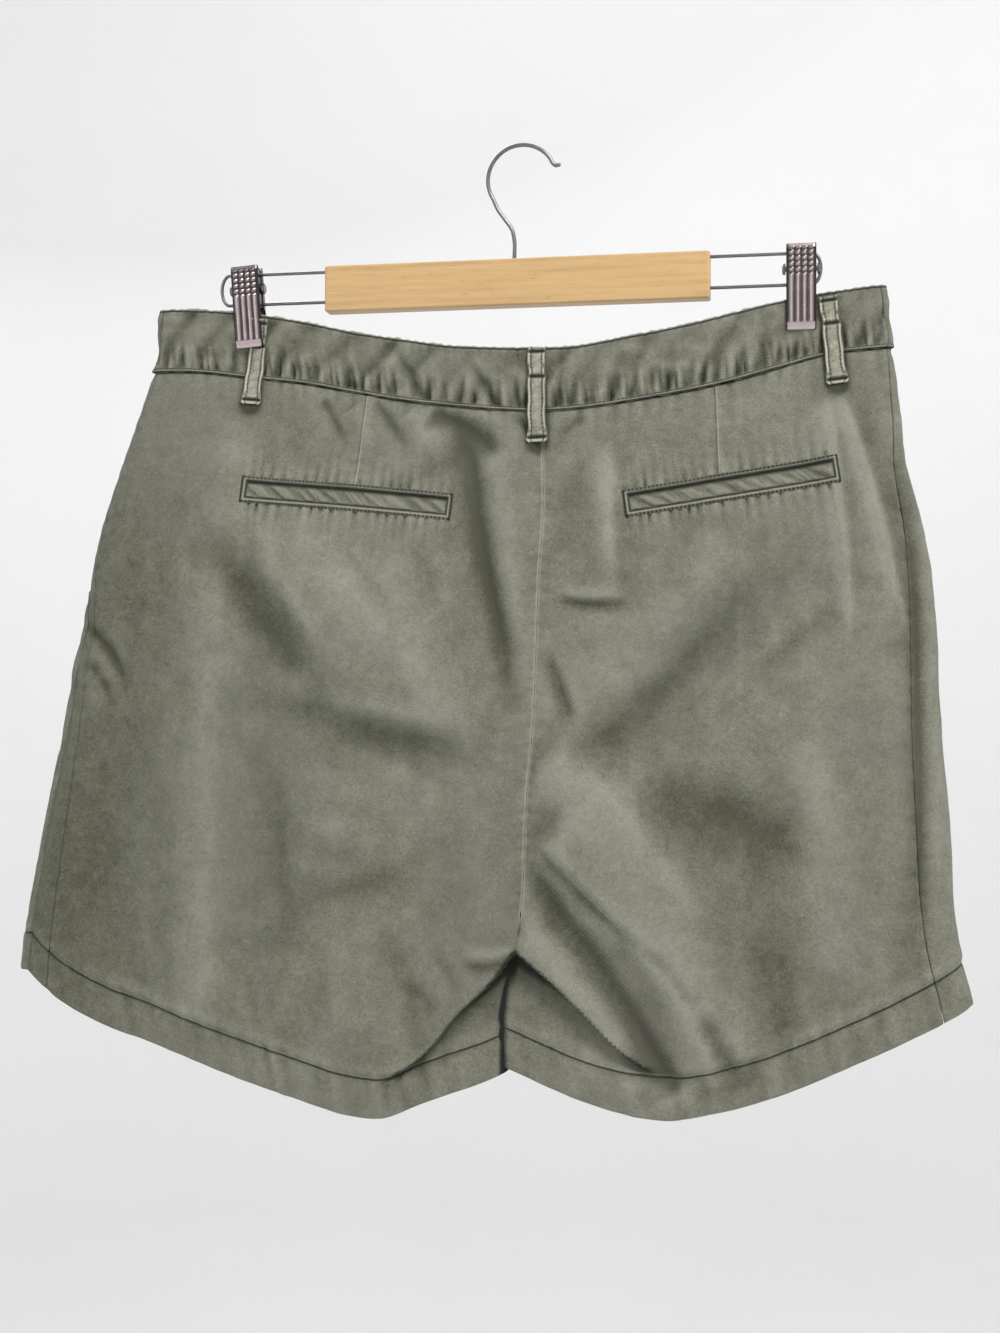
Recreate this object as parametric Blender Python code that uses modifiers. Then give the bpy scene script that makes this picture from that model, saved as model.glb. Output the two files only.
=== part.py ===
"""Pleated cotton shorts, clipped by the waist to a wooden-bar clip hanger.

The shorts hang with their back towards -Y. The hook's inner crown is the origin, +X runs to the
right of that back view and +Z is up. All sizes in the tables are millimetres.
"""

import math

import bmesh
import bpy
import numpy as np
from mathutils import Vector
from mathutils.bvhtree import BVHTree

MM = 0.001
COLLECTION = "pleated_shorts"

# Cloth
CLOTH_WALL = 1.5
HEM_WALL = 2.4
HEM_HEIGHT = 25.0
BAND_WALL = 2.0
BAND_PROUD = 0.6
SEAM_GAP = 0.3
LEG_GAP = 1.2
PANEL_ROWS = 22
BAND_ROWS = 4
TANGENT_REACH = 1.5
# Where a panel's columns lie, from its centre seam to its side seam: closer where it bends
COLUMN_SHARES = (0.0, 0.012, 0.03, 0.09, 0.17, 0.26, 0.35, 0.44, 0.53, 0.62, 0.71, 0.78, 0.84,
                 0.89, 0.93, 0.965, 1.0)
# The same for the stretch of the right front waistband that laps over the left one
TAB_SHARES = np.array((0.13, 0.10, 0.06, 0.02))

# Outline of the hung body: height, left edge, centre seam, right edge
BODY_OUTLINE = (
    (-90.0, -225.0, 12.0, 212.0),
    (-128.0, -231.0, 14.0, 217.0),
    (-161.0, -242.0, 14.0, 220.0),
    (-191.0, -253.0, 14.5, 223.5),
    (-223.0, -265.0, 15.0, 231.5),
    (-254.0, -273.0, 13.0, 237.0),
    (-285.0, -278.0, 12.0, 240.5),
    (-316.0, -285.0, 11.0, 242.5),
    (-348.0, -291.0, 9.5, 244.0),
    (-379.0, -298.0, 7.0, 246.0),
    (-411.0, -305.0, 5.0, 248.0),
    (-442.0, -311.0, 3.5, 249.5),
    (-474.0, -316.5, 0.0, 254.0),
    (-505.0, -320.0, -7.0, 262.0),
    (-560.0, -325.0, -9.0, 270.0),
    (-600.0, -329.0, -9.5, 275.0),
)
# Edges of the waistband on the back: across, top edge, seam to the panels
WAIST_EDGES = (
    (-231.0, -90.5, -129.0),
    (-199.0, -91.5, -130.0),
    (-168.0, -94.5, -134.0),
    (-135.0, -100.5, -138.5),
    (-104.0, -108.2, -144.8),
    (-73.0, -114.0, -151.0),
    (-42.0, -119.2, -155.4),
    (-12.0, -121.4, -158.6),
    (11.0, -122.1, -159.8),
    (33.0, -122.0, -159.2),
    (63.0, -117.3, -155.8),
    (92.0, -112.4, -151.3),
    (121.0, -105.8, -145.7),
    (150.0, -98.7, -137.8),
    (178.0, -94.0, -130.6),
    (217.0, -90.6, -127.3),
)
FRONT_WAIST_DROP = 9.0
FRONT_WAIST_HALF_WIDTH = 150.0
# Hem edge: across, height on the back, height on the front
LEFT_HEM = (
    (-324.0, -500.0, -500.0),
    (-314.0, -505.0, -505.0),
    (-295.0, -519.0, -517.0),
    (-262.0, -534.0, -530.0),
    (-230.0, -542.5, -539.0),
    (-197.0, -553.0, -548.0),
    (-166.0, -562.6, -556.0),
    (-134.0, -572.0, -562.0),
    (-103.0, -580.5, -565.0),
    (-84.0, -581.5, -565.0),
    (-57.0, -571.0, -561.0),
    (-26.0, -558.0, -554.0),
    (-9.0, -549.0, -549.0),
)
RIGHT_HEM = (
    (-9.0, -545.0, -545.0),
    (4.0, -550.5, -549.0),
    (19.0, -558.0, -553.0),
    (48.0, -568.5, -560.0),
    (72.0, -574.0, -562.0),
    (92.0, -575.0, -562.0),
    (107.0, -572.0, -561.0),
    (135.0, -564.5, -556.0),
    (164.0, -553.5, -547.0),
    (192.0, -541.0, -536.0),
    (220.0, -528.0, -524.0),
    (248.0, -513.5, -511.0),
    (268.0, -502.0, -502.0),
)
# Half of the flat garment's depth along the waist: across, half depth. The clips pinch it.
WAIST_HALF_DEPTH = (
    (-235.0, 6.0),
    (-205.0, 4.4),
    (-180.0, 3.0),
    (-158.0, 3.1),
    (-128.0, 6.0),
    (-80.0, 9.5),
    (-30.0, 12.0),
    (10.0, 12.5),
    (60.0, 11.5),
    (110.0, 8.0),
    (142.0, 4.6),
    (156.0, 3.1),
    (176.0, 3.0),
    (200.0, 4.4),
    (225.0, 6.0),
)
# The same down the body: height, half depth of the back, half depth of the front
BODY_HALF_DEPTH = (
    (-120.0, 9.0, 9.0),
    (-180.0, 14.0, 13.0),
    (-250.0, 19.0, 16.5),
    (-330.0, 21.5, 18.0),
    (-420.0, 20.5, 18.0),
    (-480.0, 18.5, 17.0),
    (-550.0, 17.0, 16.0),
    (-600.0, 16.0, 15.0),
)
WAIST_FLAT = 22.0
WAIST_BLEND = 112.0
SIDE_FLATTEN = 0.34
SIDE_ROUND = 1.45
CROTCH_TOP = -452.0
CROTCH_BOTTOM = -481.0
INSEAM_ROUND = 5.0
# Distance of the side seam from the side fold, on the back: height, left, right
SIDE_SEAM_INSET = (
    (-120.0, 3.0, 3.0),
    (-180.0, 3.0, 5.0),
    (-300.0, 8.0, 14.0),
    (-400.0, 15.0, 17.0),
    (-600.0, 20.0, 20.0),
)
# Inverted V from the crotch to the hem: height, left edge of the fold, right edge
CROTCH_FOLD = (
    (-470.0, 3.0, 3.0),
    (-480.0, -6.0, 6.0),
    (-493.0, -19.0, 15.0),
    (-515.0, -35.0, 38.0),
    (-527.0, -45.0, 50.0),
    (-537.0, -53.0, 59.0),
    (-555.0, -72.0, 76.0),
    (-575.0, -84.0, 92.0),
    (-600.0, -92.0, 100.0),
)
CROTCH_FOLD_DEPTH = 8.5
CROTCH_FOLD_WIDTH = 13.0
# Largest soft folds of the back: start across, start height, end across, end height, width,
# depth (a positive depth sinks in)
BACK_FOLDS = (
    (-28.0, -188.0, -2.0, -335.0, 15.0, 4.0),
    (-178.0, -205.0, -100.0, -335.0, 22.0, 3.5),
    (-100.0, -335.0, -8.0, -372.0, 17.0, 3.5),
    (172.0, -222.0, 32.0, -352.0, 21.0, 3.5),
    (20.0, -425.0, 88.0, -545.0, 17.0, 4.5),
    (92.0, -395.0, 160.0, -432.0, 25.0, 3.0),
    (232.0, -350.0, 226.0, -470.0, 13.0, 3.0),
    (24.0, -412.0, 96.0, -505.0, 13.0, -3.0),
    (-190.0, -180.0, -196.0, -470.0, 20.0, -3.0),
    (-130.0, -438.0, -40.0, -412.0, 18.0, 3.0),
)
# Front pleats: start across, start height, end across, end height, width, depth
FRONT_FOLDS = (
    (-92.0, -150.0, -98.0, -330.0, 14.0, -3.5),
    (112.0, -150.0, 118.0, -330.0, 14.0, -3.5),
    (-112.0, -150.0, -116.0, -300.0, 11.0, 2.5),
    (132.0, -145.0, 136.0, -300.0, 11.0, 2.5),
    (8.0, -330.0, -120.0, -470.0, 24.0, 3.5),
    (8.0, -330.0, 130.0, -470.0, 24.0, 3.5),
)

# Pieces that lie on the cloth
TRIM_LIFT = 0.35
TRIM_WALL = 1.2
WELT_HEIGHT = 13.5
WELT_STEPS = 14
# Welt pockets: name, inner end across, inner end height, outer end across, outer end height
WELTS = (
    ("welt_left", -42.5, -215.4, -167.5, -203.7),
    ("welt_right", 64.0, -216.0, 185.0, -197.9),
)
LOOP_WIDTH = 11.6
LOOP_BOW = 1.8
LOOP_STEPS = 12
# Belt loops: name, face (-1 back, 1 front), top across, top height, end across, end height, bow
LOOPS = (
    ("belt_loop_back_left", -1, -164.0, -98.5, -168.4, -150.5, 0.0),
    ("belt_loop_back_middle", -1, 11.0, -122.6, 11.0, -178.5, LOOP_BOW),
    ("belt_loop_back_right", -1, 180.0, -96.8, 185.4, -147.8, LOOP_BOW),
    ("belt_loop_front_left", 1, -118.0, -112.0, -122.0, -163.0, LOOP_BOW),
    ("belt_loop_front_right", 1, 118.0, -113.5, 122.0, -164.0, LOOP_BOW),
)
MOUTH_WIDTH = 9.0
MOUTH_STEPS = 14
# Slash pocket mouths of the front: name, top across, top height, end across, end height
MOUTHS = (
    ("pocket_mouth_left", -162.0, -140.0, -246.0, -258.0),
    ("pocket_mouth_right", 154.0, -141.0, 212.0, -258.0),
)
FLY_WIDTH = 36.0
FLY_TOP = -172.0
FLY_BOTTOM = -318.0
FLY_STEPS = 14
FLY_COLUMNS = 4
TAB_LIFT = 2.6
BUTTON_RADIUS = 8.5
BUTTON_THICKNESS = 3.0

# Hanger
BAR_LEFT = -120.6
BAR_RIGHT = 112.2
BAR_TOP = -67.5
BAR_HEIGHT = 28.0
BAR_DEPTH = 12.0
BAR_EDGE = 1.4
SOCKET_CLEARANCE = 0.35
HOOK_WIRE = 1.2
HOOK_CENTRE_Z = -19.5
HOOK_RADIUS = 20.7
HOOK_STEM_X = -4.6
HOOK_SOCKET_DEPTH = 14.0
WIRE_RADIUS = 1.0
WIRE_UPPER_Z = -70.3
WIRE_LOWER_Z = -88.6
WIRE_INSIDE_BAR = 24.0
WIRE_LEFT_END = -187.5
WIRE_RIGHT_END = 176.0
CLIP_WIDTH = 17.3
CLIP_PLATE = 1.1
CLIP_INNER = 5.9
CLIP_GRIP = 4.3
CLIP_TOP = -65.5
CLIP_BOTTOM = -115.8
CLIP_RIB = 0.7
CLIP_RIB_WIDTH = 2.2
CLIP_SPRING_RADIUS = 5.2
# Clips: name, centre across, lean in degrees
CLIPS = (("clip_left", -170.8, 4.0), ("clip_right", 164.8, 0.0))

# Materials: name, colour, roughness, metallic
CLOTH = ("olive_twill", (0.215, 0.225, 0.165), 0.92, 0.0)
WORN_CLOTH = ("worn_twill", (0.330, 0.325, 0.250), 0.92, 0.0)
BUTTON = ("button_horn", (0.110, 0.095, 0.070), 0.35, 0.0)
WOOD = ("bar_wood", (0.700, 0.455, 0.230), 0.45, 0.0)
STEEL = ("hook_steel", (0.560, 0.550, 0.530), 0.25, 1.0)
CLIP_METAL = ("clip_metal", (0.520, 0.460, 0.440), 0.25, 1.0)


def clear_scene():
    for obj in list(bpy.data.objects):
        bpy.data.objects.remove(obj, do_unlink=True)


def make_collection(name):
    collection = bpy.data.collections.new(name)
    bpy.context.scene.collection.children.link(collection)
    return collection


def material(name, spec):
    _, colour, roughness, metallic = spec
    made = bpy.data.materials.new(name)
    made.use_nodes = True
    shader = made.node_tree.nodes["Principled BSDF"]
    shader.inputs["Base Color"].default_value = (*colour, 1.0)
    shader.inputs["Roughness"].default_value = roughness
    shader.inputs["Metallic"].default_value = metallic
    return made


def read_table(table, column, at):
    """Reads a column of a table smoothly at the given places of its first column."""
    rows = np.array(table, float)
    keys, values = rows[:, 0], rows[:, column]
    if keys[0] > keys[-1]:
        keys, values = keys[::-1], values[::-1]
    slopes = np.gradient(values, keys)
    at = np.clip(np.asarray(at, float), keys[0], keys[-1])
    cell = np.clip(np.searchsorted(keys, at) - 1, 0, len(keys) - 2)
    span = keys[cell + 1] - keys[cell]
    u = (at - keys[cell]) / span
    rise = values[cell] * (2 * u**3 - 3 * u**2 + 1) + values[cell + 1] * (3 * u**2 - 2 * u**3)
    bend = slopes[cell] * (u**3 - 2 * u**2 + u) + slopes[cell + 1] * (u**3 - u**2)
    return rise + bend * span


def smooth_step(low, high, value):
    u = np.clip((np.asarray(value, float) - low) / (high - low), 0.0, 1.0)
    return u * u * (3.0 - 2.0 * u)


def fold_depth(table, x, z):
    """Sum of the soft folds: each is a trough or a ridge along a line, fading at its ends."""
    total = np.zeros(np.broadcast(x, z).shape)
    for start_x, start_z, end_x, end_z, width, depth in table:
        along = np.array((end_x - start_x, end_z - start_z))
        length = math.hypot(*along)
        u = ((x - start_x) * along[0] + (z - start_z) * along[1]) / length**2
        off = ((x - start_x) * along[1] - (z - start_z) * along[0]) / length
        fade = smooth_step(-0.25, 0.2, u) * smooth_step(1.25, 0.8, u)
        total = total + depth * fade * np.exp(-((off / width) ** 2))
    return total


def outline_x(side, z):
    return read_table(BODY_OUTLINE, 1 if side < 0 else 3, z)


def centre_x(z):
    return read_table(BODY_OUTLINE, 2, z)


def waist_top(x, face):
    drop = np.clip(1.0 - (np.asarray(x) / FRONT_WAIST_HALF_WIDTH) ** 2, 0.0, 1.0)
    return read_table(WAIST_EDGES, 1, x) - (face > 0) * FRONT_WAIST_DROP * drop


def waist_seam(x, face):
    drop = np.clip(1.0 - (np.asarray(x) / FRONT_WAIST_HALF_WIDTH) ** 2, 0.0, 1.0)
    return read_table(WAIST_EDGES, 2, x) - (face > 0) * FRONT_WAIST_DROP * drop


def hem_z(side, face, x):
    return read_table(LEFT_HEM if side < 0 else RIGHT_HEM, 1 if face < 0 else 2, x)


def half_depth(face, x, z):
    """Depth of the back (face -1) or front (face 1) outer surface from the middle plane."""
    below = smooth_step(WAIST_FLAT, WAIST_BLEND, waist_top(x, face) - z)
    at_waist = read_table(WAIST_HALF_DEPTH, 1, x)
    body = read_table(BODY_HALF_DEPTH, 1 if face < 0 else 2, z)
    across = np.where(
        x < centre_x(z),
        (centre_x(z) - x) / (centre_x(z) - outline_x(-1, z)),
        (x - centre_x(z)) / (outline_x(1, z) - centre_x(z)),
    )
    body = body * (1.0 - SIDE_FLATTEN * np.clip(across, 0.0, 1.0) ** 3)
    depth = at_waist * (1.0 - below) + body * below
    if face > 0:
        return depth - below * fold_depth(FRONT_FOLDS, x, z)
    return depth - below * fold_depth(BACK_FOLDS, x, z) - crotch_recess(x, z)


def crotch_recess(x, z):
    """Inside the inverted V under the crotch the cloth lies deeper than the leg beside it."""
    left = read_table(CROTCH_FOLD, 1, z)
    right = read_table(CROTCH_FOLD, 2, z)
    low = smooth_step(CROTCH_TOP - 14.0, CROTCH_BOTTOM - 12.0, z)
    inside = smooth_step(left - 2.0, left + CROTCH_FOLD_WIDTH, x)
    inside = inside * smooth_step(right + 2.0, right - CROTCH_FOLD_WIDTH, x)
    return CROTCH_FOLD_DEPTH * low * inside


def section(side, z):
    """Half section of the body at a height, from the centre seam round the side to the front.

    It returns the points across and in depth, and how far along the curve each lies.
    """
    z = np.atleast_1d(np.asarray(z, float))[:, None]
    centre = centre_x(z)
    width = np.abs(outline_x(side, z) - centre)
    open_leg = smooth_step(CROTCH_TOP, CROTCH_BOTTOM, z)
    gap = (SEAM_GAP + (LEG_GAP - SEAM_GAP) * open_leg) / 2.0
    start = 0.5 * math.pi * (1.0 - open_leg)
    turn = start + (0.5 * math.pi - start) * np.linspace(0.0, 1.0, 13)[None, :]
    inner_edge = gap + INSEAM_ROUND * (np.cos(start) - np.cos(turn))
    flat_start = gap + INSEAM_ROUND * np.cos(start)

    faces = []
    for face in (-1, 1):
        near_side = half_depth(face, centre + side * (width - 24.0), z)
        flat_end = width - SIDE_ROUND * near_side
        flat = flat_start + (flat_end - flat_start) * np.linspace(0.0, 1.0, 61)[None, :]
        edge_depth = half_depth(face, centre + side * flat_end, z)
        bend = 0.5 * math.pi * np.linspace(0.0, 1.0, 25)[None, :]
        side_edge = flat_end + (width - flat_end) * np.sin(bend)
        inner_depth = half_depth(face, centre + side * inner_edge, z) * np.sin(turn)
        flat_depth = half_depth(face, centre + side * flat, z)
        out = np.concatenate([inner_edge, flat[:, 1:], side_edge[:, 1:]], axis=1)
        deep = np.concatenate(
            [inner_depth, flat_depth[:, 1:], (edge_depth * np.cos(bend))[:, 1:]], axis=1
        )
        faces.append((out, face * (deep + SEAM_GAP / 2.0 * open_leg)))
    out = np.concatenate([faces[0][0], faces[1][0][:, -2::-1]], axis=1)
    y = np.concatenate([faces[0][1], faces[1][1][:, -2::-1]], axis=1)
    x = centre + side * out
    steps = np.hypot(np.diff(x, axis=1), np.diff(y, axis=1))
    run = np.concatenate([np.zeros((len(z), 1)), np.cumsum(steps, axis=1)], axis=1)
    return x, y, run


def seam_run(side, z, x, run):
    """Distance along the section from the centre back to the side seam."""
    inset = read_table(SIDE_SEAM_INSET, 1 if side < 0 else 2, z)
    found = np.empty(len(run))
    half = x.shape[1] // 2
    for row in range(len(run)):
        target = np.abs(x[row, : half + 1] - x[row, 0])
        found[row] = np.interp(target[-1] - inset[row], target, run[row, : half + 1])
    return found


def form_points(side, face, fraction, z):
    """Points of the outer surface at a fraction of a panel's width, and level tangents there."""
    x, y, run = section(side, z)
    seam = seam_run(side, np.asarray(z), x, run)
    points = np.empty((len(z), 3))
    tangents = np.zeros((len(z), 3))
    for row in range(len(z)):
        total = run[row, -1]
        if face < 0:
            at = fraction[row] * (seam[row] - SEAM_GAP / 2.0)
        else:
            first = seam[row] + SEAM_GAP / 2.0
            at = total - fraction[row] * (total - first)
        points[row] = (np.interp(at, run[row], x[row]), np.interp(at, run[row], y[row]), z[row])
        ends = np.clip((at - TANGENT_REACH, at + TANGENT_REACH), 0.0, total)
        tangents[row, 0] = np.diff(np.interp(ends, run[row], x[row]))[0]
        tangents[row, 1] = np.diff(np.interp(ends, run[row], y[row]))[0]
    tangents /= np.linalg.norm(tangents, axis=1, keepdims=True)
    return points, tangents


def edge_heights(side, face, fraction, edge):
    """Height of the waist's top, the waist seam or the hem where a column meets it."""
    z = np.full(len(fraction), -550.0 if edge == "hem" else -130.0)
    for _ in range(5):
        points, _ = form_points(side, face, fraction, z)
        x = points[:, 0]
        if edge == "hem":
            heights = [hem_z(side, at_face, x) for at_face in (-1, 1)]
        elif edge == "seam":
            heights = [waist_seam(x, at_face) for at_face in (-1, 1)]
        else:
            heights = [waist_top(x, at_face) for at_face in (-1, 1)]
        z = np.where(points[:, 1] < 0.0, heights[0], heights[1])
    return z


def panel_grid(side, face):
    """Outer points and normals of a panel, from the waist seam down, centre seam first."""
    fraction = np.array(COLUMN_SHARES)
    top = edge_heights(side, face, fraction, "seam") - SEAM_GAP / 2.0
    bottom = edge_heights(side, face, fraction, "hem")
    rows = []
    for share in np.linspace(0.0, 1.0, PANEL_ROWS - 2):
        rows.append(top + (bottom + HEM_HEIGHT + 1.5 - top) * share)
    rows.extend([bottom + HEM_HEIGHT, bottom + HEM_HEIGHT / 2.0, bottom])
    placed = [form_points(side, face, fraction, z) for z in rows]
    points = np.array([row[0] for row in placed])
    tangents = np.array([row[1] for row in placed])
    return points, outward(np.cross(tangents, np.gradient(points, axis=0)), face)


def outward(normal, face):
    """Unit normals, turned to point out of the back or front face."""
    normal = normal / np.linalg.norm(normal, axis=2, keepdims=True)
    middle = normal[normal.shape[0] // 2, normal.shape[1] // 2]
    return normal if middle[1] * face > 0 else -normal


def square_ends(points, normal, side, face):
    """Keeps the wall's ends in the seam planes, so that panels meet without crossing."""
    open_leg = smooth_step(CROTCH_TOP, CROTCH_BOTTOM, points[:, 0, 2])
    angle = 0.5 * math.pi * (1.0 - open_leg)
    seam = np.stack([-side * np.cos(angle), face * np.sin(angle), 0.0 * angle], axis=1)
    normal[:, 0] = seam
    normal[0, :, 2] = 0.0
    normal[-1, :, 2] = 0.0
    normal /= np.linalg.norm(normal, axis=2, keepdims=True)
    return normal


def grid_faces(rows, columns, first, flip):
    """Two triangles for each cell of a grid whose points start at index first."""
    faces = []
    for row in range(rows - 1):
        for column in range(columns - 1):
            a = first + row * columns + column
            b, c, d = a + 1, a + columns + 1, a + columns
            pair = [(a, b, c), (a, c, d)]
            faces.extend([tri[::-1] for tri in pair] if flip else pair)
    return faces


def rim_faces(rows, columns, second, flip):
    """Faces that close the wall round the border of two matching grids."""
    border = list(range(columns))
    border += [row * columns + columns - 1 for row in range(1, rows)]
    border += [(rows - 1) * columns + column for column in range(columns - 2, -1, -1)]
    border += [row * columns for row in range(rows - 2, 0, -1)]
    faces = []
    for a, b in zip(border, border[1:] + border[:1]):
        pair = [(a, second + b, b), (a, second + a, second + b)]
        faces.extend([tri[::-1] for tri in pair] if flip else pair)
    return faces


def mesh_object(name, points, faces, spec, collection):
    mesh = bpy.data.meshes.new(name)
    mesh.from_pydata([tuple(MM * value for value in point) for point in points], [], faces)
    mesh.update()
    shape = bmesh.new()
    shape.from_mesh(mesh)
    bmesh.ops.recalc_face_normals(shape, faces=shape.faces)
    if shape.calc_volume(signed=True) < 0.0:
        bmesh.ops.reverse_faces(shape, faces=shape.faces)
    shape.to_mesh(mesh)
    shape.free()
    mesh.shade_smooth()
    mesh.set_sharp_from_angle(angle=math.radians(50.0))
    made = bpy.data.objects.new(name, mesh)
    made.data.materials.append(material(name, spec))
    collection.objects.link(made)
    return made


def shell_object(name, outer, inner, spec, collection):
    """Closed solid between two matching grids of points."""
    rows, columns = outer.shape[:2]
    points = np.concatenate([outer.reshape(-1, 3), inner.reshape(-1, 3)])
    second = rows * columns
    faces = grid_faces(rows, columns, 0, False) + grid_faces(rows, columns, second, True)
    faces += rim_faces(rows, columns, second, False)
    return mesh_object(name, points, faces, spec, collection)


def surface_of(grids):
    """Ray-casting tree over the outer faces of some grids."""
    points, faces = [], []
    for grid in grids:
        rows, columns = grid.shape[:2]
        faces += grid_faces(rows, columns, len(points), False)
        points += [Vector(point) for point in grid.reshape(-1, 3)]
    return BVHTree.FromPolygons(points, faces)


def drop_on(tree, x, z, face):
    """Depth of the cloth's outer surface behind a point, looking past the seams' gaps."""
    found = []
    for aside, up in ((0.0, 0.0), (0.0, 0.5), (0.0, -0.5), (0.5, 0.0), (-0.5, 0.0)):
        start = Vector((x + aside, face * 200.0, z + up))
        hit = tree.ray_cast(start, Vector((0.0, -face, 0.0)))[0]
        if hit is not None:
            found.append(face * hit.y)
    if not found:
        raise ValueError(f"no cloth at {x:.1f}, {z:.1f}")
    return face * max(found)


def lie_on(tree, grid_xz, face, lift):
    """Points moved onto the cloth and out from it by a lift for each point."""
    rows, columns = grid_xz.shape[:2]
    placed = np.empty((rows, columns, 3))
    for row in range(rows):
        for column in range(columns):
            x, z = grid_xz[row, column]
            y = drop_on(tree, x, z, face) + face * lift[row, column]
            placed[row, column] = (x, y, z)
    return placed


def trim_object(name, tree, grid_xz, face, lift, wall, spec, collection):
    inner = lie_on(tree, grid_xz, face, lift)
    outer = inner.copy()
    outer[:, :, 1] += face * wall
    return shell_object(name, outer, inner, spec, collection)


def strip_grid(start, end, width, steps, flare=0.0):
    """Points of a straight strip, across its width and along it."""
    start, end = np.array(start), np.array(end)
    along = (end - start) / np.linalg.norm(end - start)
    across = np.array((-along[1], along[0]))
    grid = np.empty((steps + 1, 3, 2))
    for row, share in enumerate(np.linspace(0.0, 1.0, steps + 1)):
        half = width / 2.0 + flare * smooth_step(0.8, 1.0, share)
        for column, offset in enumerate((-half, 0.0, half)):
            grid[row, column] = start + (end - start) * share + across * offset
    return grid


def make_panels(collection):
    """The four leg panels, with their turned-up hems."""
    grids = {}
    for side, side_name in ((-1, "left"), (1, "right")):
        for face, face_name in ((-1, "back"), (1, "front")):
            outer, normal = panel_grid(side, face)
            normal = square_ends(outer, normal, side, face)
            wall = np.full(outer.shape[:2] + (1,), CLOTH_WALL)
            wall[-3:] = HEM_WALL
            name = f"{face_name}_{side_name}"
            shell_object(name, outer, outer - normal * wall, CLOTH, collection)
            grids[name] = outer
    return grids


def band_half(side, face, fraction):
    """Points of one half of the waistband's face, from the centre to the side seam."""
    top = edge_heights(side, face, fraction, "top")
    bottom = edge_heights(side, face, fraction, "seam") + SEAM_GAP / 2.0
    rows = [top + (bottom - top) * share for share in np.linspace(0.0, 1.0, BAND_ROWS)]
    placed = [form_points(side, face, fraction, z) for z in rows]
    points = np.array([row[0] for row in placed])
    tangents = np.array([row[1] for row in placed])
    return points, outward(np.cross(tangents, (0.0, 0.0, 1.0)), face)


def joined_band(*halves):
    """Points and normals of band pieces laid end to end."""
    points = np.concatenate([half[0] for half in halves], axis=1)
    normals = np.concatenate([half[1] for half in halves], axis=1)
    return points, normals


def reversed_band(half):
    return half[0][:, ::-1], half[1][:, ::-1]


def band_object(name, band, lift, collection):
    """Waistband piece, standing a little proud of the panels under it. Returns its outside."""
    points, normal = band
    outer = points + normal * lift
    shell_object(name, outer, outer - normal * BAND_WALL, CLOTH, collection)
    return outer


def make_bands(collection):
    """The back waistband and the two front ones, of which the right one ends in the tab."""
    shares = np.array(COLUMN_SHARES)
    apart = shares[shares > 0.05]
    back = joined_band(reversed_band(band_half(-1, -1, apart)), band_half(1, -1, apart))
    left = reversed_band(band_half(-1, 1, shares))
    near = np.concatenate([[0.003, 0.048], apart])
    right = joined_band(band_half(-1, 1, TAB_SHARES), band_half(1, 1, near))
    middle = centre_x(right[0][:, :, 2:])
    over = smooth_step(middle + 11.0, middle + 1.0, right[0][:, :, :1])
    return {
        "back": band_object("waistband_back", back, BAND_PROUD, collection),
        "left": band_object("waistband_front_left", left, BAND_PROUD, collection),
        "right": band_object(
            "waistband_front_right", right, BAND_PROUD + TAB_LIFT * over, collection
        ),
    }


def make_welts(tree, collection):
    for name, inner_x, inner_z, outer_x, outer_z in WELTS:
        grid = strip_grid((inner_x, inner_z), (outer_x, outer_z), WELT_HEIGHT, WELT_STEPS)
        lift = np.full(grid.shape[:2], TRIM_LIFT)
        trim_object(name, tree, grid, -1, lift, TRIM_WALL, CLOTH, collection)


def make_loops(tree, side_face, collection):
    for name, face, top_x, top_z, end_x, end_z, bow in LOOPS:
        if face != side_face:
            continue
        grid = strip_grid((top_x, top_z), (end_x, end_z), LOOP_WIDTH, LOOP_STEPS, flare=1.2)
        share = np.linspace(0.0, 1.0, LOOP_STEPS + 1)[:, None]
        lift = TRIM_LIFT + bow * np.sin(math.pi * share) + 0.0 * grid[:, :, 0]
        trim_object(name, tree, grid, face, lift, TRIM_WALL, WORN_CLOTH, collection)


def make_front_trim(tree, collection):
    for name, top_x, top_z, end_x, end_z in MOUTHS:
        grid = strip_grid((top_x, top_z), (end_x, end_z), MOUTH_WIDTH, MOUTH_STEPS)
        lift = np.full(grid.shape[:2], TRIM_LIFT)
        trim_object(name, tree, grid, 1, lift, TRIM_WALL, CLOTH, collection)

    grid = np.empty((FLY_STEPS + 1, FLY_COLUMNS + 1, 2))
    for row, share in enumerate(np.linspace(0.0, 1.0, FLY_STEPS + 1)):
        z = FLY_TOP + (FLY_BOTTOM - FLY_TOP) * share
        curve = max(0.0, (share - 0.72) / 0.28)
        width = 4.0 + (FLY_WIDTH - 4.0) * math.sqrt(1.0 - 0.96 * curve**2)
        for column, across in enumerate(np.linspace(0.0, 1.0, FLY_COLUMNS + 1)):
            grid[row, column] = (centre_x(z) + 1.0 + width * across, z)
    lift = np.full(grid.shape[:2], TRIM_LIFT)
    trim_object("fly", tree, grid, 1, lift, TRIM_WALL, CLOTH, collection)


def make_button(tree, collection):
    x, z = centre_x(-150.0) - 14.0, -150.0
    y = drop_on(tree, x, z, 1) + TRIM_LIFT + BUTTON_THICKNESS / 2.0 + 0.2
    bpy.ops.mesh.primitive_cylinder_add(
        vertices=28,
        radius=BUTTON_RADIUS * MM,
        depth=BUTTON_THICKNESS * MM,
        location=(x * MM, y * MM, z * MM),
        rotation=(math.radians(90.0), 0.0, 0.0),
    )
    finish_object("waist_button", BUTTON, collection, 0.6)


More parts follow.
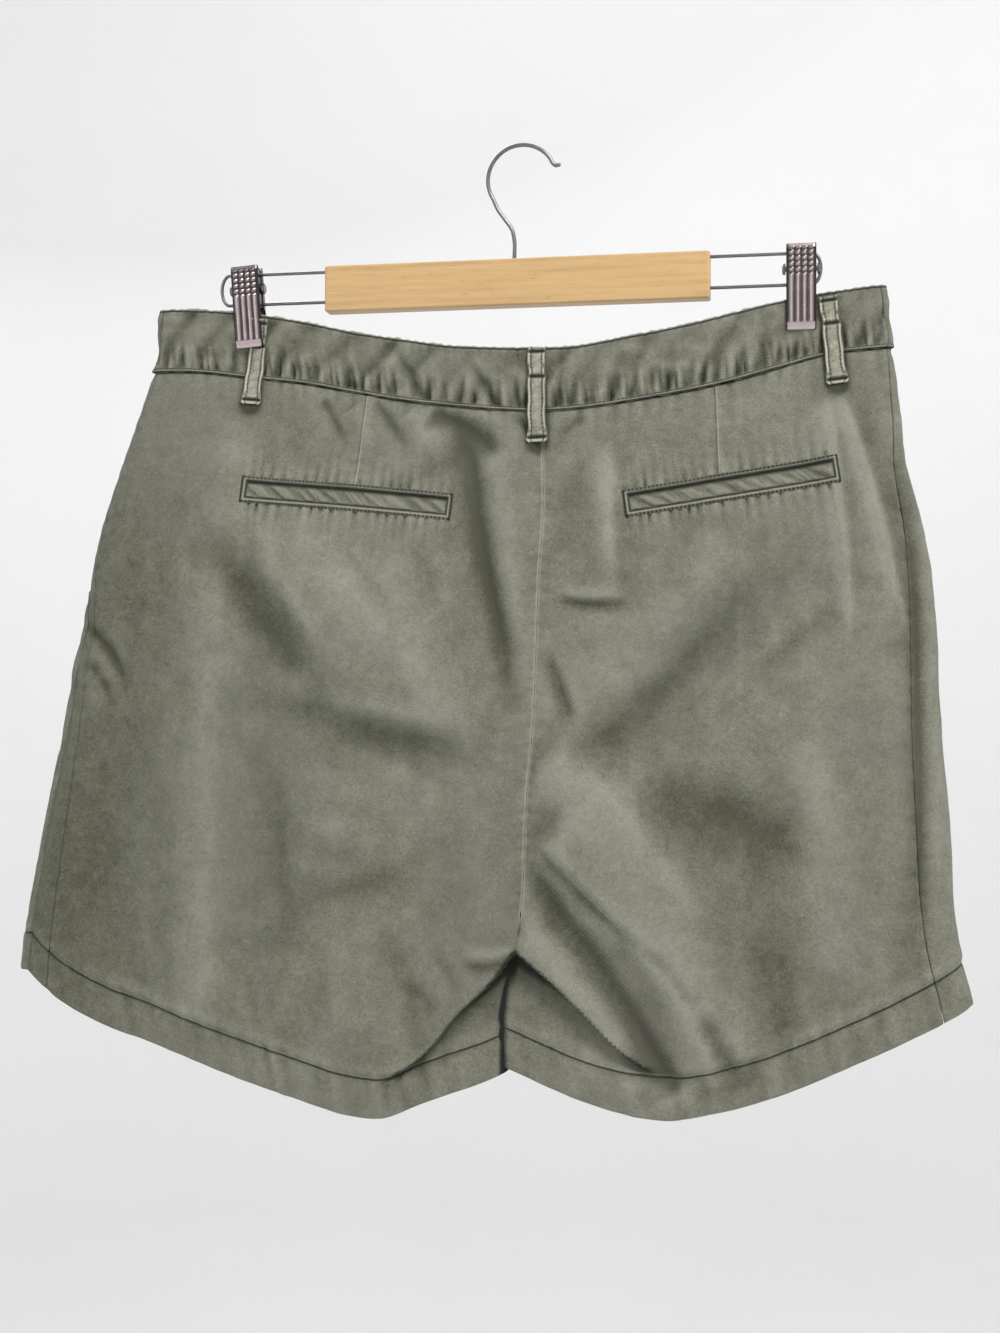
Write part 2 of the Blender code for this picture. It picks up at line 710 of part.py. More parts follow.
def finish_object(name, spec, collection, edge=0.0):
    """Names the active object, moves it to the collection, and gives it material and edges."""
    made = bpy.context.object
    made.name = name
    made.data.name = name
    for old in list(made.users_collection):
        old.objects.unlink(made)
    collection.objects.link(made)
    if spec:
        made.data.materials.append(material(name, spec))
    if edge:
        bevel = made.modifiers.new("edges", "BEVEL")
        bevel.width = edge * MM
        bevel.segments = 2
    return made


def box(name, low, high, spec, collection):
    """Box between two corners, with its scale applied."""
    low, high = np.array(low), np.array(high)
    bpy.ops.mesh.primitive_cube_add(size=1.0, location=tuple((low + high) / 2.0 * MM))
    made = bpy.context.object
    made.scale = tuple((high - low) * MM)
    bpy.ops.object.transform_apply(location=False, rotation=False, scale=True)
    return finish_object(name, spec, collection)


def tube(name, points, radius, spec, collection):
    """Round wire through points, with closed ends."""
    curve = bpy.data.curves.new(name, "CURVE")
    curve.dimensions = "3D"
    curve.bevel_depth = radius * MM
    curve.bevel_resolution = 2
    curve.use_fill_caps = True
    spline = curve.splines.new("POLY")
    spline.points.add(len(points) - 1)
    for point, place in zip(spline.points, points):
        point.co = (place[0] * MM, place[1] * MM, place[2] * MM, 1.0)
    made = bpy.data.objects.new(name, curve)
    curve.materials.append(material(name, spec))
    collection.objects.link(made)
    return made


def cut(target, cutter):
    cutter.hide_render = True
    cutter.display_type = "WIRE"
    boolean = target.modifiers.new("cut " + cutter.name, "BOOLEAN")
    boolean.operation = "DIFFERENCE"
    boolean.object = cutter


def rod_cutter(name, centre, radius, length, along_x, cutters):
    turn = (0.0, math.radians(90.0), 0.0) if along_x else (0.0, 0.0, 0.0)
    bpy.ops.mesh.primitive_cylinder_add(
        vertices=24,
        radius=radius * MM,
        depth=length * MM,
        location=tuple(value * MM for value in centre),
        rotation=turn,
    )
    return finish_object(name, None, cutters)


def make_bar(collection, cutters):
    """Wooden bar with a socket for the hook and two for each clip's wires."""
    bar = box(
        "hanger_bar",
        (BAR_LEFT, -BAR_DEPTH / 2.0, BAR_TOP - BAR_HEIGHT),
        (BAR_RIGHT, BAR_DEPTH / 2.0, BAR_TOP),
        WOOD,
        collection,
    )
    bevel = bar.modifiers.new("edges", "BEVEL")
    bevel.width = BAR_EDGE * MM
    bevel.segments = 3
    for end, x in (("left", BAR_LEFT), ("right", BAR_RIGHT)):
        for level, z in (("upper", WIRE_UPPER_Z), ("lower", WIRE_LOWER_Z)):
            cutter = rod_cutter(
                f"socket_{end}_{level}",
                (x, 0.0, z),
                WIRE_RADIUS + SOCKET_CLEARANCE,
                2.0 * (WIRE_INSIDE_BAR + 1.0),
                True,
                cutters,
            )
            cut(bar, cutter)
    centre = (HOOK_STEM_X, 0.0, BAR_TOP)
    depth = 2.0 * (HOOK_SOCKET_DEPTH + 1.0)
    cut(bar, rod_cutter("socket_hook", centre, HOOK_WIRE + SOCKET_CLEARANCE, depth, False, cutters))


def smooth_path(knots, count):
    """Evenly read points of a smooth curve through the knots."""
    knots = np.array(knots, float)
    run = np.concatenate([[0.0], np.cumsum(np.linalg.norm(np.diff(knots, axis=0), axis=1))])
    at = np.linspace(0.0, run[-1], count)
    columns = []
    for axis in range(knots.shape[1]):
        table = np.stack([run, knots[:, axis]], axis=1)
        columns.append(read_table(table, 1, at))
    return np.stack(columns, axis=1)


def make_hook(collection):
    knots = [(HOOK_STEM_X, BAR_TOP - HOOK_SOCKET_DEPTH), (HOOK_STEM_X, -66.0)]
    knots += [(HOOK_STEM_X, -56.0), (-6.0, -49.5), (-10.0, -43.5), (-14.6, -37.0)]
    for degrees in range(212, 24, -11):
        angle = math.radians(degrees)
        crown_x = HOOK_RADIUS * math.cos(angle)
        knots.append((crown_x, HOOK_CENTRE_Z + HOOK_RADIUS * math.sin(angle)))
    knots += [(20.2, -12.0), (22.6, -11.6)]
    path = smooth_path(knots, 64)
    points = [(x, 0.0, z) for x, z in path]
    tube("hanger_hook", points, HOOK_WIRE, STEEL, collection)


def make_wires(collection):
    """A flattened U of wire at each end of the bar, on which a clip slides."""
    middle = (WIRE_UPPER_Z + WIRE_LOWER_Z) / 2.0
    half = (WIRE_UPPER_Z - WIRE_LOWER_Z) / 2.0
    left = ("wire_left", BAR_LEFT, WIRE_LEFT_END, -1)
    right = ("wire_right", BAR_RIGHT, WIRE_RIGHT_END, 1)
    for name, bar_end, loop_end, side in (left, right):
        root = bar_end - side * WIRE_INSIDE_BAR
        turn = loop_end - side * half * 0.55
        points = [(root, 0.0, WIRE_UPPER_Z)]
        for degrees in range(90, -91, -15):
            angle = math.radians(degrees)
            round_x = turn + side * half * 0.55 * math.cos(angle)
            points.append((round_x, 0.0, middle + half * math.sin(angle)))
        points.append((root, 0.0, WIRE_LOWER_Z))
        tube(name, points, WIRE_RADIUS, STEEL, collection)


def make_jaw(name, centre, face, lip, collection, cutters):
    """Half of a clip: a ribbed plate with side flanges and a gripping lip."""
    half = CLIP_WIDTH / 2.0
    low, high = sorted((face * CLIP_INNER, face * (CLIP_INNER + CLIP_PLATE)))
    plate = box(name, (centre - half, low, CLIP_BOTTOM), (centre + half, high, CLIP_TOP),
                CLIP_METAL, collection)
    pieces = []
    out = sorted((face * (CLIP_INNER + 0.4), face * (CLIP_INNER + CLIP_PLATE + CLIP_RIB)))
    for index in range(4):
        middle = centre + (index - 1.5) * 4.1
        left, right = middle - CLIP_RIB_WIDTH / 2.0, middle + CLIP_RIB_WIDTH / 2.0
        pieces.append(((left, out[0], -111.5), (right, out[1], -84.0)))
        for level in (-81.5, -78.2, -74.9, -71.6):
            pieces.append(((left, out[0], level - 1.0), (right, out[1], level + 1.0)))
    flange = sorted((face * 1.7, face * (CLIP_INNER + 0.5)))
    for x in (centre - half + 0.3, centre + half - 1.3):
        pieces.append(((x, flange[0], -92.5), (x + 1.0, flange[1], CLIP_TOP - 0.5)))
    grip = sorted((face * CLIP_GRIP, face * (CLIP_INNER + 0.5)))
    pieces.append(((lip[0], grip[0], CLIP_BOTTOM + 0.3), (lip[1], grip[1], CLIP_BOTTOM + 3.0)))
    ribs = bmesh.new()
    for low_corner, high_corner in pieces:
        low_corner, high_corner = Vector(low_corner), Vector(high_corner)
        made = bmesh.ops.create_cube(ribs, size=1.0)["verts"]
        bmesh.ops.scale(ribs, verts=made, vec=(high_corner - low_corner) * MM)
        bmesh.ops.translate(ribs, verts=made, vec=(high_corner + low_corner) * MM / 2.0)
    mesh = bpy.data.meshes.new(name + "_ribs")
    ribs.to_mesh(mesh)
    ribs.free()
    helper = bpy.data.objects.new(name + "_ribs", mesh)
    helper.hide_render = True
    helper.display_type = "WIRE"
    cutters.objects.link(helper)
    join = plate.modifiers.new("ribs", "BOOLEAN")
    join.operation = "UNION"
    join.object = helper
    return [plate, helper]


def make_clip(name, centre, lean, collection, cutters):
    half = CLIP_WIDTH / 2.0
    whole = (centre - half + 0.3, centre + half - 0.3)
    back_lip = (centre - half + 0.3, centre - 4.5) if lean else whole
    pieces = make_jaw(name + "_back", centre, -1, back_lip, collection, cutters)
    pieces += make_jaw(name + "_front", centre, 1, whole, collection, cutters)
    middle = (WIRE_UPPER_Z + WIRE_LOWER_Z) / 2.0
    bpy.ops.mesh.primitive_cylinder_add(
        vertices=24,
        radius=CLIP_SPRING_RADIUS * MM,
        depth=(CLIP_WIDTH - 3.4) * MM,
        location=(centre * MM, 0.0, middle * MM),
        rotation=(0.0, math.radians(90.0), 0.0),
    )
    pieces.append(finish_object(name + "_spring", STEEL, collection))
    pivot = bpy.data.objects.new(name + "_pivot", None)
    pivot.location = (centre * MM, 0.0, middle * MM)
    collection.objects.link(pivot)
    bpy.context.view_layer.update()
    for piece in pieces:
        piece.parent = pivot
        piece.matrix_parent_inverse = pivot.matrix_world.inverted()
    pivot.rotation_euler = (0.0, math.radians(-lean), 0.0)


def main():
    clear_scene()
    collection = make_collection(COLLECTION)
    cutters = make_collection("cutters")
    panels = make_panels(collection)
    bands = make_bands(collection)
    back_tree = surface_of([panels["back_left"], panels["back_right"], bands["back"]])
    front_panels = [panels["front_left"], panels["front_right"]]
    front_tree = surface_of(front_panels + [bands["left"], bands["right"]])
    make_welts(back_tree, collection)
    make_loops(back_tree, -1, collection)
    make_loops(front_tree, 1, collection)
    make_front_trim(surface_of(front_panels), collection)
    make_button(front_tree, collection)
    make_bar(collection, cutters)
    make_hook(collection)
    make_wires(collection)
    for name, centre, lean in CLIPS:
        make_clip(name, centre, lean, collection, cutters)


main()
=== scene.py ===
"""Looks of the pleated shorts on their clip hanger.

Each cloth piece is a thin shell on the form of its solid, with its folds, creases and puckers
pressed into it. Tables and lengths are in millimetres, and meshes are made in metres.
"""
import functools
import math

import bpy
import numpy as np
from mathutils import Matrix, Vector
from mathutils.bvhtree import BVHTree


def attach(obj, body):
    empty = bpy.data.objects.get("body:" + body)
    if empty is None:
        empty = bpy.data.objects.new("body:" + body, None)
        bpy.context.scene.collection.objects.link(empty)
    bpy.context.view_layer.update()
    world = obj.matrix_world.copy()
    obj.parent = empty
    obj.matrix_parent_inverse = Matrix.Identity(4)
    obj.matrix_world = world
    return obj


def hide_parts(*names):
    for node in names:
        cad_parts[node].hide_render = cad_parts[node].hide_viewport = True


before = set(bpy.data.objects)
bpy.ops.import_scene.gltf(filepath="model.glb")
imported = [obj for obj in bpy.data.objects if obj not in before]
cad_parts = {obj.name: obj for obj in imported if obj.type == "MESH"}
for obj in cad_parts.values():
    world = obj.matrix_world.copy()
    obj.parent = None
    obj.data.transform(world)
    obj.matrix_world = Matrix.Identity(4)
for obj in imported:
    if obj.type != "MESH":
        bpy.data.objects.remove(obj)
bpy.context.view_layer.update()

MM = 0.001

# ---------------------------------------------------------------- form, as in the part's source

CLOTH_WALL = 1.5
HEM_WALL = 2.4
HEM_HEIGHT = 25.0
BAND_WALL = 2.0
BAND_PROUD = 0.6
SEAM_GAP = 0.3
LEG_GAP = 1.2
# Outline of the hung body: height, left edge, centre seam, right edge
BODY_OUTLINE = (
    (-90, -225, 12, 212),
    (-128, -231, 14, 217),
    (-161, -242, 14, 220),
    (-191, -253, 14.5, 223.5),
    (-223, -265, 15, 231.5),
    (-254, -273, 13, 237),
    (-285, -278, 12, 240.5),
    (-316, -285, 11, 242.5),
    (-348, -291, 9.5, 244),
    (-379, -298, 7, 246),
    (-411, -305, 5, 248),
    (-442, -311, 3.5, 249.5),
    (-474, -316.5, 0, 254),
    (-505, -320, -7, 262),
    (-560, -325, -9, 270),
    (-600, -329, -9.5, 275),
)
# Edges of the waistband on the back: across, top edge, seam to the panels
WAIST_EDGES = (
    (-231, -90.5, -129),
    (-199, -91.5, -130),
    (-168, -94.5, -134),
    (-135, -100.5, -138.5),
    (-104, -108.2, -144.8),
    (-73, -114, -151),
    (-42, -119.2, -155.4),
    (-12, -121.4, -158.6),
    (11, -122.1, -159.8),
    (33, -122, -159.2),
    (63, -117.3, -155.8),
    (92, -112.4, -151.3),
    (121, -105.8, -145.7),
    (150, -98.7, -137.8),
    (178, -94, -130.6),
    (217, -90.6, -127.3),
)
FRONT_WAIST_DROP = 9.0
FRONT_WAIST_HALF_WIDTH = 150.0
# Hem edge: across, height on the back, height on the front
LEFT_HEM = (
    (-324, -500, -500),
    (-314, -505, -505),
    (-295, -519, -517),
    (-262, -534, -530),
    (-230, -542.5, -539),
    (-197, -553, -548),
    (-166, -562.6, -556),
    (-134, -572, -562),
    (-103, -580.5, -565),
    (-84, -581.5, -565),
    (-57, -571, -561),
    (-26, -558, -554),
    (-9, -549, -549),
)
RIGHT_HEM = (
    (-9, -545, -545),
    (4, -550.5, -549),
    (19, -558, -553),
    (48, -568.5, -560),
    (72, -574, -562),
    (92, -575, -562),
    (107, -572, -561),
    (135, -564.5, -556),
    (164, -553.5, -547),
    (192, -541, -536),
    (220, -528, -524),
    (248, -513.5, -511),
    (268, -502, -502),
)
# Half of the flat garment's depth along the waist: across, half depth
WAIST_HALF_DEPTH = (
    (-235, 6),
    (-205, 4.4),
    (-180, 3),
    (-158, 3.1),
    (-128, 6),
    (-80, 9.5),
    (-30, 12),
    (10, 12.5),
    (60, 11.5),
    (110, 8),
    (142, 4.6),
    (156, 3.1),
    (176, 3),
    (200, 4.4),
    (225, 6),
)
# The same down the body: height, half depth of the back, half depth of the front
BODY_HALF_DEPTH = (
    (-120, 9, 9),
    (-180, 14, 13),
    (-250, 19, 16.5),
    (-330, 21.5, 18),
    (-420, 20.5, 18),
    (-480, 18.5, 17),
    (-550, 17, 16),
    (-600, 16, 15),
)
WAIST_FLAT = 22.0
WAIST_BLEND = 112.0
SIDE_FLATTEN = 0.34
SIDE_ROUND = 1.45
CROTCH_TOP = -452.0
CROTCH_BOTTOM = -481.0
INSEAM_ROUND = 5.0
INSEAM_SQUARED = 4.4
# Distance of the side seam from the side fold, on the back: height, left, right
SIDE_SEAM_INSET = (
    (-120, 3, 3),
    (-180, 3, 5),
    (-300, 8, 14),
    (-400, 15, 17),
    (-600, 20, 20),
)
# Heights at which the form's level sections are worked out
LEVEL_STEP = 1.0
LEVELS = np.arange(-84.0, -601.0, -LEVEL_STEP)
INSEAM_POINTS = 21
FLAT_POINTS = 181
BEND_POINTS = 49

# ---------------------------------------------------------------- folds of the cloth

# Each fold is a trough, or a ridge where its depth is negative, along a path that runs down the
# cloth. Columns: depth, width on the -X side, width on the +X side, roundness, share of the path
# over which it starts, share over which it ends, path of (across, height). A level path runs
# towards +X, and its widths are then those below it and above it.
BACK_FOLDS = (
    # Under the waistband, left of the middle belt loop
    (4.8, 12, 7, 1.6, 0.10, 0.30, (
        (-54, -156), (-38, -165), (-22, -176), (-11, -190))),
    (1.8, 3.5, 3, 1.5, 0.05, 0.60, ((-121, -149), (-112, -166), (-103, -184))),
    (2, 3.5, 3, 1.5, 0.05, 0.60, ((-88, -151), (-75, -170), (-62, -190))),
    (-1.3, 6, 8, 1.7, 0.05, 0.60, ((-104, -155), (-92, -172), (-82, -194))),
    (-1.4, 6, 9, 1.7, 0.05, 0.60, ((-68, -158), (-53, -178), (-43, -204))),
    (2.8, 4, 3, 1.5, 0.02, 0.50, ((-2, -160), (7, -173), (16, -190))),
    (1.6, 3, 3, 1.5, 0.10, 0.60, ((40, -162), (30, -171), (19, -186))),
    # Long trough beside the centre seam, and the swell left of it
    (8.6, 42, 10, 1.6, 0.12, 0.35, (
        (-46, -166), (-31, -192), (-27, -222), (-21, -254), (-14, -286),
        (-7, -318), (-1, -352))),
    # Drag lines from the left pocket down to the crotch
    (-9, 15, 56, 1.6, 0.30, 0.30, (
        (-177, -204), (-164, -220), (-146, -244), (-127, -272),
        (-106, -299), (-78, -319), (-48, -333), (-14, -350))),
    (3.6, 24, 14, 1.7, 0.25, 0.35, (
        (-187, -214), (-174, -262), (-155, -293), (-130, -322), (-100, -342))),
    (-4.8, 12, 26, 1.6, 0.22, 0.45, (
        (-158, -306), (-134, -322), (-106, -331), (-70, -336), (-40, -346),
        (-6, -361))),
    (2.6, 16, 10, 1.7, 0.40, 0.40, (
        (-128, -345), (-90, -352), (-50, -362), (-12, -379))),
    (0.9, 6, 5, 1.6, 0.45, 0.45, ((-126, -216), (-96, -252), (-62, -300))),
    (0.9, 6, 5, 1.6, 0.45, 0.45, ((-78, -222), (-57, -252), (-44, -292))),
    (0.9, 6, 5, 1.6, 0.45, 0.45, ((-110, -356), (-70, -366), (-22, -392))),
    # Left leg
    (-5, 32, 20, 1.8, 0.10, 0.12, (
        (-169, -150), (-180, -218), (-190, -300), (-194, -400),
        (-195, -500), (-193, -545))),
    (3.4, 4, 6, 1.3, 0.25, 0.50, (
        (-281, -280), (-265, -296), (-252, -314), (-243, -338))),
    (1.8, 3.5, 5, 1.3, 0.30, 0.50, ((-279, -304), (-264, -320), (-254, -344))),
    (2.4, 22, 11, 1.7, 0.30, 0.40, (
        (-156, -455), (-118, -449), (-80, -437), (-36, -414))),
    (3.2, 19, 14, 1.8, 0.35, 0.30, (
        (-154, -344), (-149, -400), (-144, -450), (-136, -510))),
    (-2, 20, 19, 2, 0.35, 0.35, ((-98, -368), (-114, -428))),
    (1.6, 12, 10, 1.7, 0.35, 0.35, ((-80, -462), (-66, -500), (-60, -545))),
    (-1.6, 14, 14, 1.9, 0.35, 0.35, ((-110, -464), (-104, -505), (-106, -550))),
    # Crumple at the left of the crotch
    (2, 4, 3, 1.4, 0.35, 0.40, ((-36, -488), (-20, -489), (-6, -480))),
    (-1.5, 4, 3.5, 1.5, 0.35, 0.35, ((-36, -481), (-18, -481), (-2, -474))),
    (1, 3.5, 3.5, 1.5, 0.40, 0.40, ((-78, -498), (-58, -508), (-42, -522))),
    (1.1, 3, 3.5, 1.4, 0.40, 0.40, ((-58, -476), (-42, -492), (-33, -510))),
    # Right seat: pocket ridge, sharp level crease and drag lines
    (-2.4, 14, 5, 1.5, 0.40, 0.40, ((52, -172), (53, -215), (58, -268))),
    (1.8, 13, 12, 1.9, 0.40, 0.40, ((26, -188), (28, -224), (32, -260))),
    (2.6, 5, 2.2, 1.25, 0.40, 0.35, ((16, -270), (42, -274.5), (70, -274))),
    (-1.1, 2.5, 9, 1.5, 0.40, 0.35, ((16, -266), (42, -270), (70, -269))),
    (5.8, 15, 32, 1.6, 0.50, 0.30, (
        (186, -212), (156, -247), (128, -276), (105, -304), (83, -328),
        (56, -350), (24, -368))),
    (3, 6, 4, 1.5, 0.35, 0.40, ((16, -296), (25, -323), (36, -352))),
    (2.2, 7, 16, 1.6, 0.40, 0.45, ((192, -268), (160, -298), (122, -330))),
    (-2.4, 22, 16, 2, 0.40, 0.40, ((140, -222), (104, -262), (62, -306))),
    # Right leg: the fan of folds below the crotch
    (-6.4, 24, 20, 1.9, 0.12, 0.40, (
        (8, -364), (38, -383), (64, -408), (92, -446), (118, -490))),
    (5.4, 36, 22, 1.9, 0.30, 0.30, (
        (62, -374), (96, -392), (132, -404), (172, -438))),
    (1.5, 3, 2.6, 1.4, 0.10, 0.45, (
        (10, -414), (37, -443), (62, -465), (84, -482), (104, -508),
        (128, -540))),
    (-5.2, 11, 28, 1.7, 0.10, 0.16, (
        (13, -406), (44, -436), (70, -466), (91, -498), (108, -534),
        (116, -556))),
    (8.4, 13, 8.5, 1.5, 0.24, 0.05, (
        (4, -420), (18, -447), (37, -474), (56, -500), (75, -529),
        (87, -550), (94, -563))),
    (-2.2, 12, 11, 1.8, 0.20, 0.20, ((4, -448), (20, -480), (45, -514), (70, -548))),
    (3, 9, 6, 1.5, 0.25, 0.40, ((92, -559), (118, -556), (150, -546))),
    (3.4, 10, 7, 1.5, 0.30, 0.20, ((106, -508), (120, -536), (138, -558))),
    (1.6, 12, 10, 1.8, 0.40, 0.30, ((146, -448), (152, -498), (153, -552))),
    (-3, 23, 22, 2, 0.35, 0.20, ((172, -330), (178, -400), (184, -505))),
    # Right side: two fold edges and the trough along the side seam
    (-4.4, 20, 3.8, 1.4, 0.20, 0.45, (
        (185, -146), (198, -190), (208, -224), (214, -256), (215, -296))),
    (-3.2, 12, 3.4, 1.4, 0.20, 0.45, (
        (178, -148), (183, -200), (189, -250), (192, -300))),
    (4.2, 15, 6, 1.5, 0.15, 0.30, (
        (214, -168), (223, -222), (230, -276), (232, -349), (231, -412),
        (227, -466), (224, -508))),
)
FRONT_FOLDS = (
    # Pleats pressed into the front, steep towards the sides
    (-4, 2.6, 20, 1.5, 0.01, 0.75, ((-92, -143), (-97, -230), (-102, -400))),
    (-4, 20, 2.6, 1.5, 0.01, 0.75, ((112, -143), (117, -230), (124, -400))),
    (3.2, 8, 2.6, 1.5, 0.01, 0.70, ((-96.5, -143), (-101.5, -230), (-107, -360))),
    (3.2, 2.6, 8, 1.5, 0.01, 0.70, ((116.5, -143), (121.5, -230), (129, -360))),
    # Drag lines from the crotch to the hips
    (4.2, 9, 7, 1.6, 0.35, 0.15, (
        (-150, -292), (-104, -328), (-60, -368), (-22, -410), (0, -448))),
    (4, 7, 9, 1.6, 0.35, 0.15, (
        (164, -300), (120, -338), (76, -374), (38, -412), (10, -450))),
    (2.6, 7, 6, 1.5, 0.40, 0.25, (
        (-176, -390), (-120, -412), (-66, -436), (-18, -466))),
    (2.8, 6, 7, 1.5, 0.40, 0.25, (
        (184, -384), (130, -410), (78, -438), (24, -466))),
    (-2.4, 12, 12, 2, 0.30, 0.30, ((-110, -376), (-68, -398), (-24, -438))),
    (-2.4, 12, 12, 2, 0.30, 0.30, ((126, -382), (84, -404), (36, -440))),
    # Legs
    (4.8, 9, 7, 1.5, 0.20, 0.10, (
        (-14, -474), (-44, -500), (-70, -530), (-88, -556))),
    (4.4, 7, 9, 1.5, 0.20, 0.10, (
        (16, -470), (42, -498), (66, -528), (84, -552))),
    (-2.6, 13, 11, 2, 0.25, 0.15, (
        (-32, -462), (-70, -494), (-100, -530), (-118, -560))),
    (-2.6, 11, 13, 2, 0.25, 0.15, (
        (34, -460), (72, -492), (102, -526), (118, -556))),
    (2.6, 16, 14, 1.9, 0.30, 0.30, ((-190, -300), (-206, -400), (-214, -505))),
    (-2.8, 11, 12, 1.9, 0.30, 0.30, ((-150, -330), (-160, -420), (-166, -530))),
    (2.4, 14, 14, 1.9, 0.30, 0.30, ((170, -330), (180, -420), (186, -505))),
    (-2.6, 11, 12, 1.9, 0.30, 0.30, ((206, -300), (214, -400), (220, -505))),
    (2, 6, 6, 1.5, 0.10, 0.50, ((-56, -166), (-48, -190), (-34, -224))),
    (1.8, 6, 6, 1.5, 0.10, 0.50, ((78, -166), (72, -190), (60, -220))),
    (2.2, 6, 7, 1.5, 0.10, 0.45, ((-186, -140), (-196, -170), (-200, -214))),
    (2, 7, 6, 1.5, 0.10, 0.45, ((182, -140), (188, -170), (192, -214))),
)
# Distance between the points of a panel, on its back and on its front
PANEL_SPACING = {-1: 1.85, 1: 2.5}
BACK_GAIN = 1.3
FRONT_GAIN = 1.25
# Height over the form from which folds are held back, and how much higher they may still go
FOLD_RISE = 6.0
FOLD_RISE_LEFT = 4.0
# Edges of the cloth that folds over the inseams below the crotch, on the back
FOLD_EDGE_LEFT = (
    (-2, -474), (-12, -485), (-22.6, -499), (-43.7, -523.5), (-53, -535.5),
    (-74, -553), (-88, -560),
)
FOLD_EDGE_RIGHT = (
    (-2, -474), (7, -481.5), (16.3, -490), (34, -507), (54.7, -528),
    (72, -543), (90, -552.5),
)
# Height above which there is no folded edge, and heights over which it starts
FOLD_EDGE_TOP = -466.0
FOLD_EDGE_START = (-472.0, -476.5)
FOLD_EDGE_DEPTH = 8.5
FOLD_EDGE_STEP = 1.8
FOLD_EDGE_CREST = 1.3
FOLD_EDGE_LAP = 2.6
FOLD_EDGE_WIDTH = 34.0
# Reach of the shade inside the fold edges: along them, and at the crotch
FOLD_SHADE = (5.5, 18.0)
FOLD_SHADE_START = (-472.5, -476.5)
# How far the back falls towards its side folds: side, fall
FLANK_FALL = ((-1, 12.0), (1, 6.0))
# Patches of painted highlight and painted shade along the folds and flanks: across, height, half
# width, half height, lean, tone
PAINTED_SHADING = (
    (-280, -430, 48, 130, -0.17, -0.46),
    (-250, -250, 34, 66, -0.20, -0.18),
    (-192, -380, 18, 170, -0.04, 0.14),
    (-158, -274, 13, 42, 0.75, -0.42),
    (-124, -336, 30, 11, 0.30, -0.28),
    (-50, -352, 36, 8, 0.30, -0.16),
    (-100, -268, 34, 44, 0.85, 0.34),
    (-147, -440, 18, 70, 0.10, -0.20),
    (-98, -440, 46, 9, 0, -0.16),
    (-52, -390, 34, 26, 0, 0.12),
    (-24, -230, 9, 66, 0.20, -0.42),
    (-34, -168, 18, 10, 0.8, -0.30),
    (-4, -250, 7, 60, 0.10, 0.22),
    (53, -199, 7, 14, 0, 0.44),
    (54, -236, 3, 28, 0.05, 0.30),
    (54, -306, 30, 26, -0.5, 0.28),
    (98, -312, 17, 44, -1.15, -0.26),
    (60, -352, 24, 12, -0.6, -0.26),
    (118, -402, 36, 24, 0.35, -0.44),
    (42, -392, 26, 26, 0.9, 0.42),
    (80, -458, 17, 56, 0.70, 0.34),
    (176, -390, 13, 80, 0.05, 0.22),
    (178, -220, 20, 74, 0.16, 0.24),
    (203, -215, 2.8, 64, 0.30, 0.85),
    (185, -215, 2.4, 60, 0.09, 0.65),
    (230, -330, 4, 140, 0.02, -0.50),
    (146, -490, 20, 60, 0, -0.22),
    (76, -536, 5, 20, 0.60, -0.60),
)
# Fine creases all over: size of the pattern across, down and through, height, seed
CRUMPLES = (
    (90, 150, 1.60, 10),
    (46, 70, 0.80, 11),
    (20, 30, 0.50, 12),
    (9, 12, 0.24, 13),
)
# Puckers that run off the seams: pitch, height, reach, seed
WAIST_PUCKERS = (9, 0.95, 9, 31)
HEM_PUCKERS = (15, 0.75, 16, 32)
HEM_FINE_PUCKERS = (6, 0.32, 7, 33)
CENTRE_PUCKERS = (8.5, 0.55, 6.5, 34)
SIDE_PUCKERS = (11, 0.45, 7, 35)
DART_PUCKERS = (7, 0.5, 6, 36)
WELT_PUCKERS = (6.5, 1.9, 8, 37)
# Uneven waves: pitch, seed
INSEAM_WAVE = (26.0, 51)
LOOP_WAVE = (16.0, 71)
LOOP_GATHERS = (6.5, 72)
MOUTH_WAVE = (9.0, 81)
FLY_WAVE = (10.0, 83)
FLY_BROAD_WAVE = (23.0, 84)
HEM_STITCH = 23.5
# Back darts: top across, top height, end across, end height
DARTS = ((-92.5, -146, -98, -201), (115.5, -143, 118, -199))

# Folds of the waistband: face, across at its top, across at its bottom, width, depth, start share
BAND_FOLDS = (
    (-1, -78, -58, 4.4, 3.4, 0.10),
    (-1, -34, -13, 4.6, 4, 0.15),
    (-1, -6, 1, 3, 2, 0.35),
    (-1, -112, -104, 4, 1.4, 0.20),
    (-1, 46, 40, 3.6, 1.8, 0.30),
    (-1, 62, 56, 3.4, 1.6, 0.00),
    (-1, 118, 112, 4, 1.8, 0.25),
    (-1, 26, 24, 3, 1.5, 0.00),
    (-1, -146, -150, 4, 1.6, 0.15),
    (-1, 142, 146, 4.2, 1.8, 0.10),
    (1, -70, -64, 4.4, 2.2, 0.10),
    (1, 54, 60, 4.2, 2, 0.20),
    (1, -140, -146, 4, 1.8, 0.10),
    (1, 136, 142, 4, 1.8, 0.10),
)
BAND_CROWN = 0.7
BAND_SPACING = 1.2
BAND_ROW_SPACING = 1.3
# Height of the waistband that its rows of points are spaced for, and that its puckers lean over
BAND_LENGTH = 37.0
BAND_HEIGHT = 38.0
# Distances of its first rows from its edges
BAND_NEAR = (0.0, 0.25, 0.6, 1.1, 1.6, 2.1, 2.6, 3.2)
# Puckers of the waistband: pitch, height at the top, height at the seam, lean, seed
BAND_PUCKERS = (
    (10, 0.00, 2.60, 0.16, 41),
    (5.2, 0.00, 1.70, -0.12, 42),
    (29, 1.5, 0.9, 0.80, 43),
)
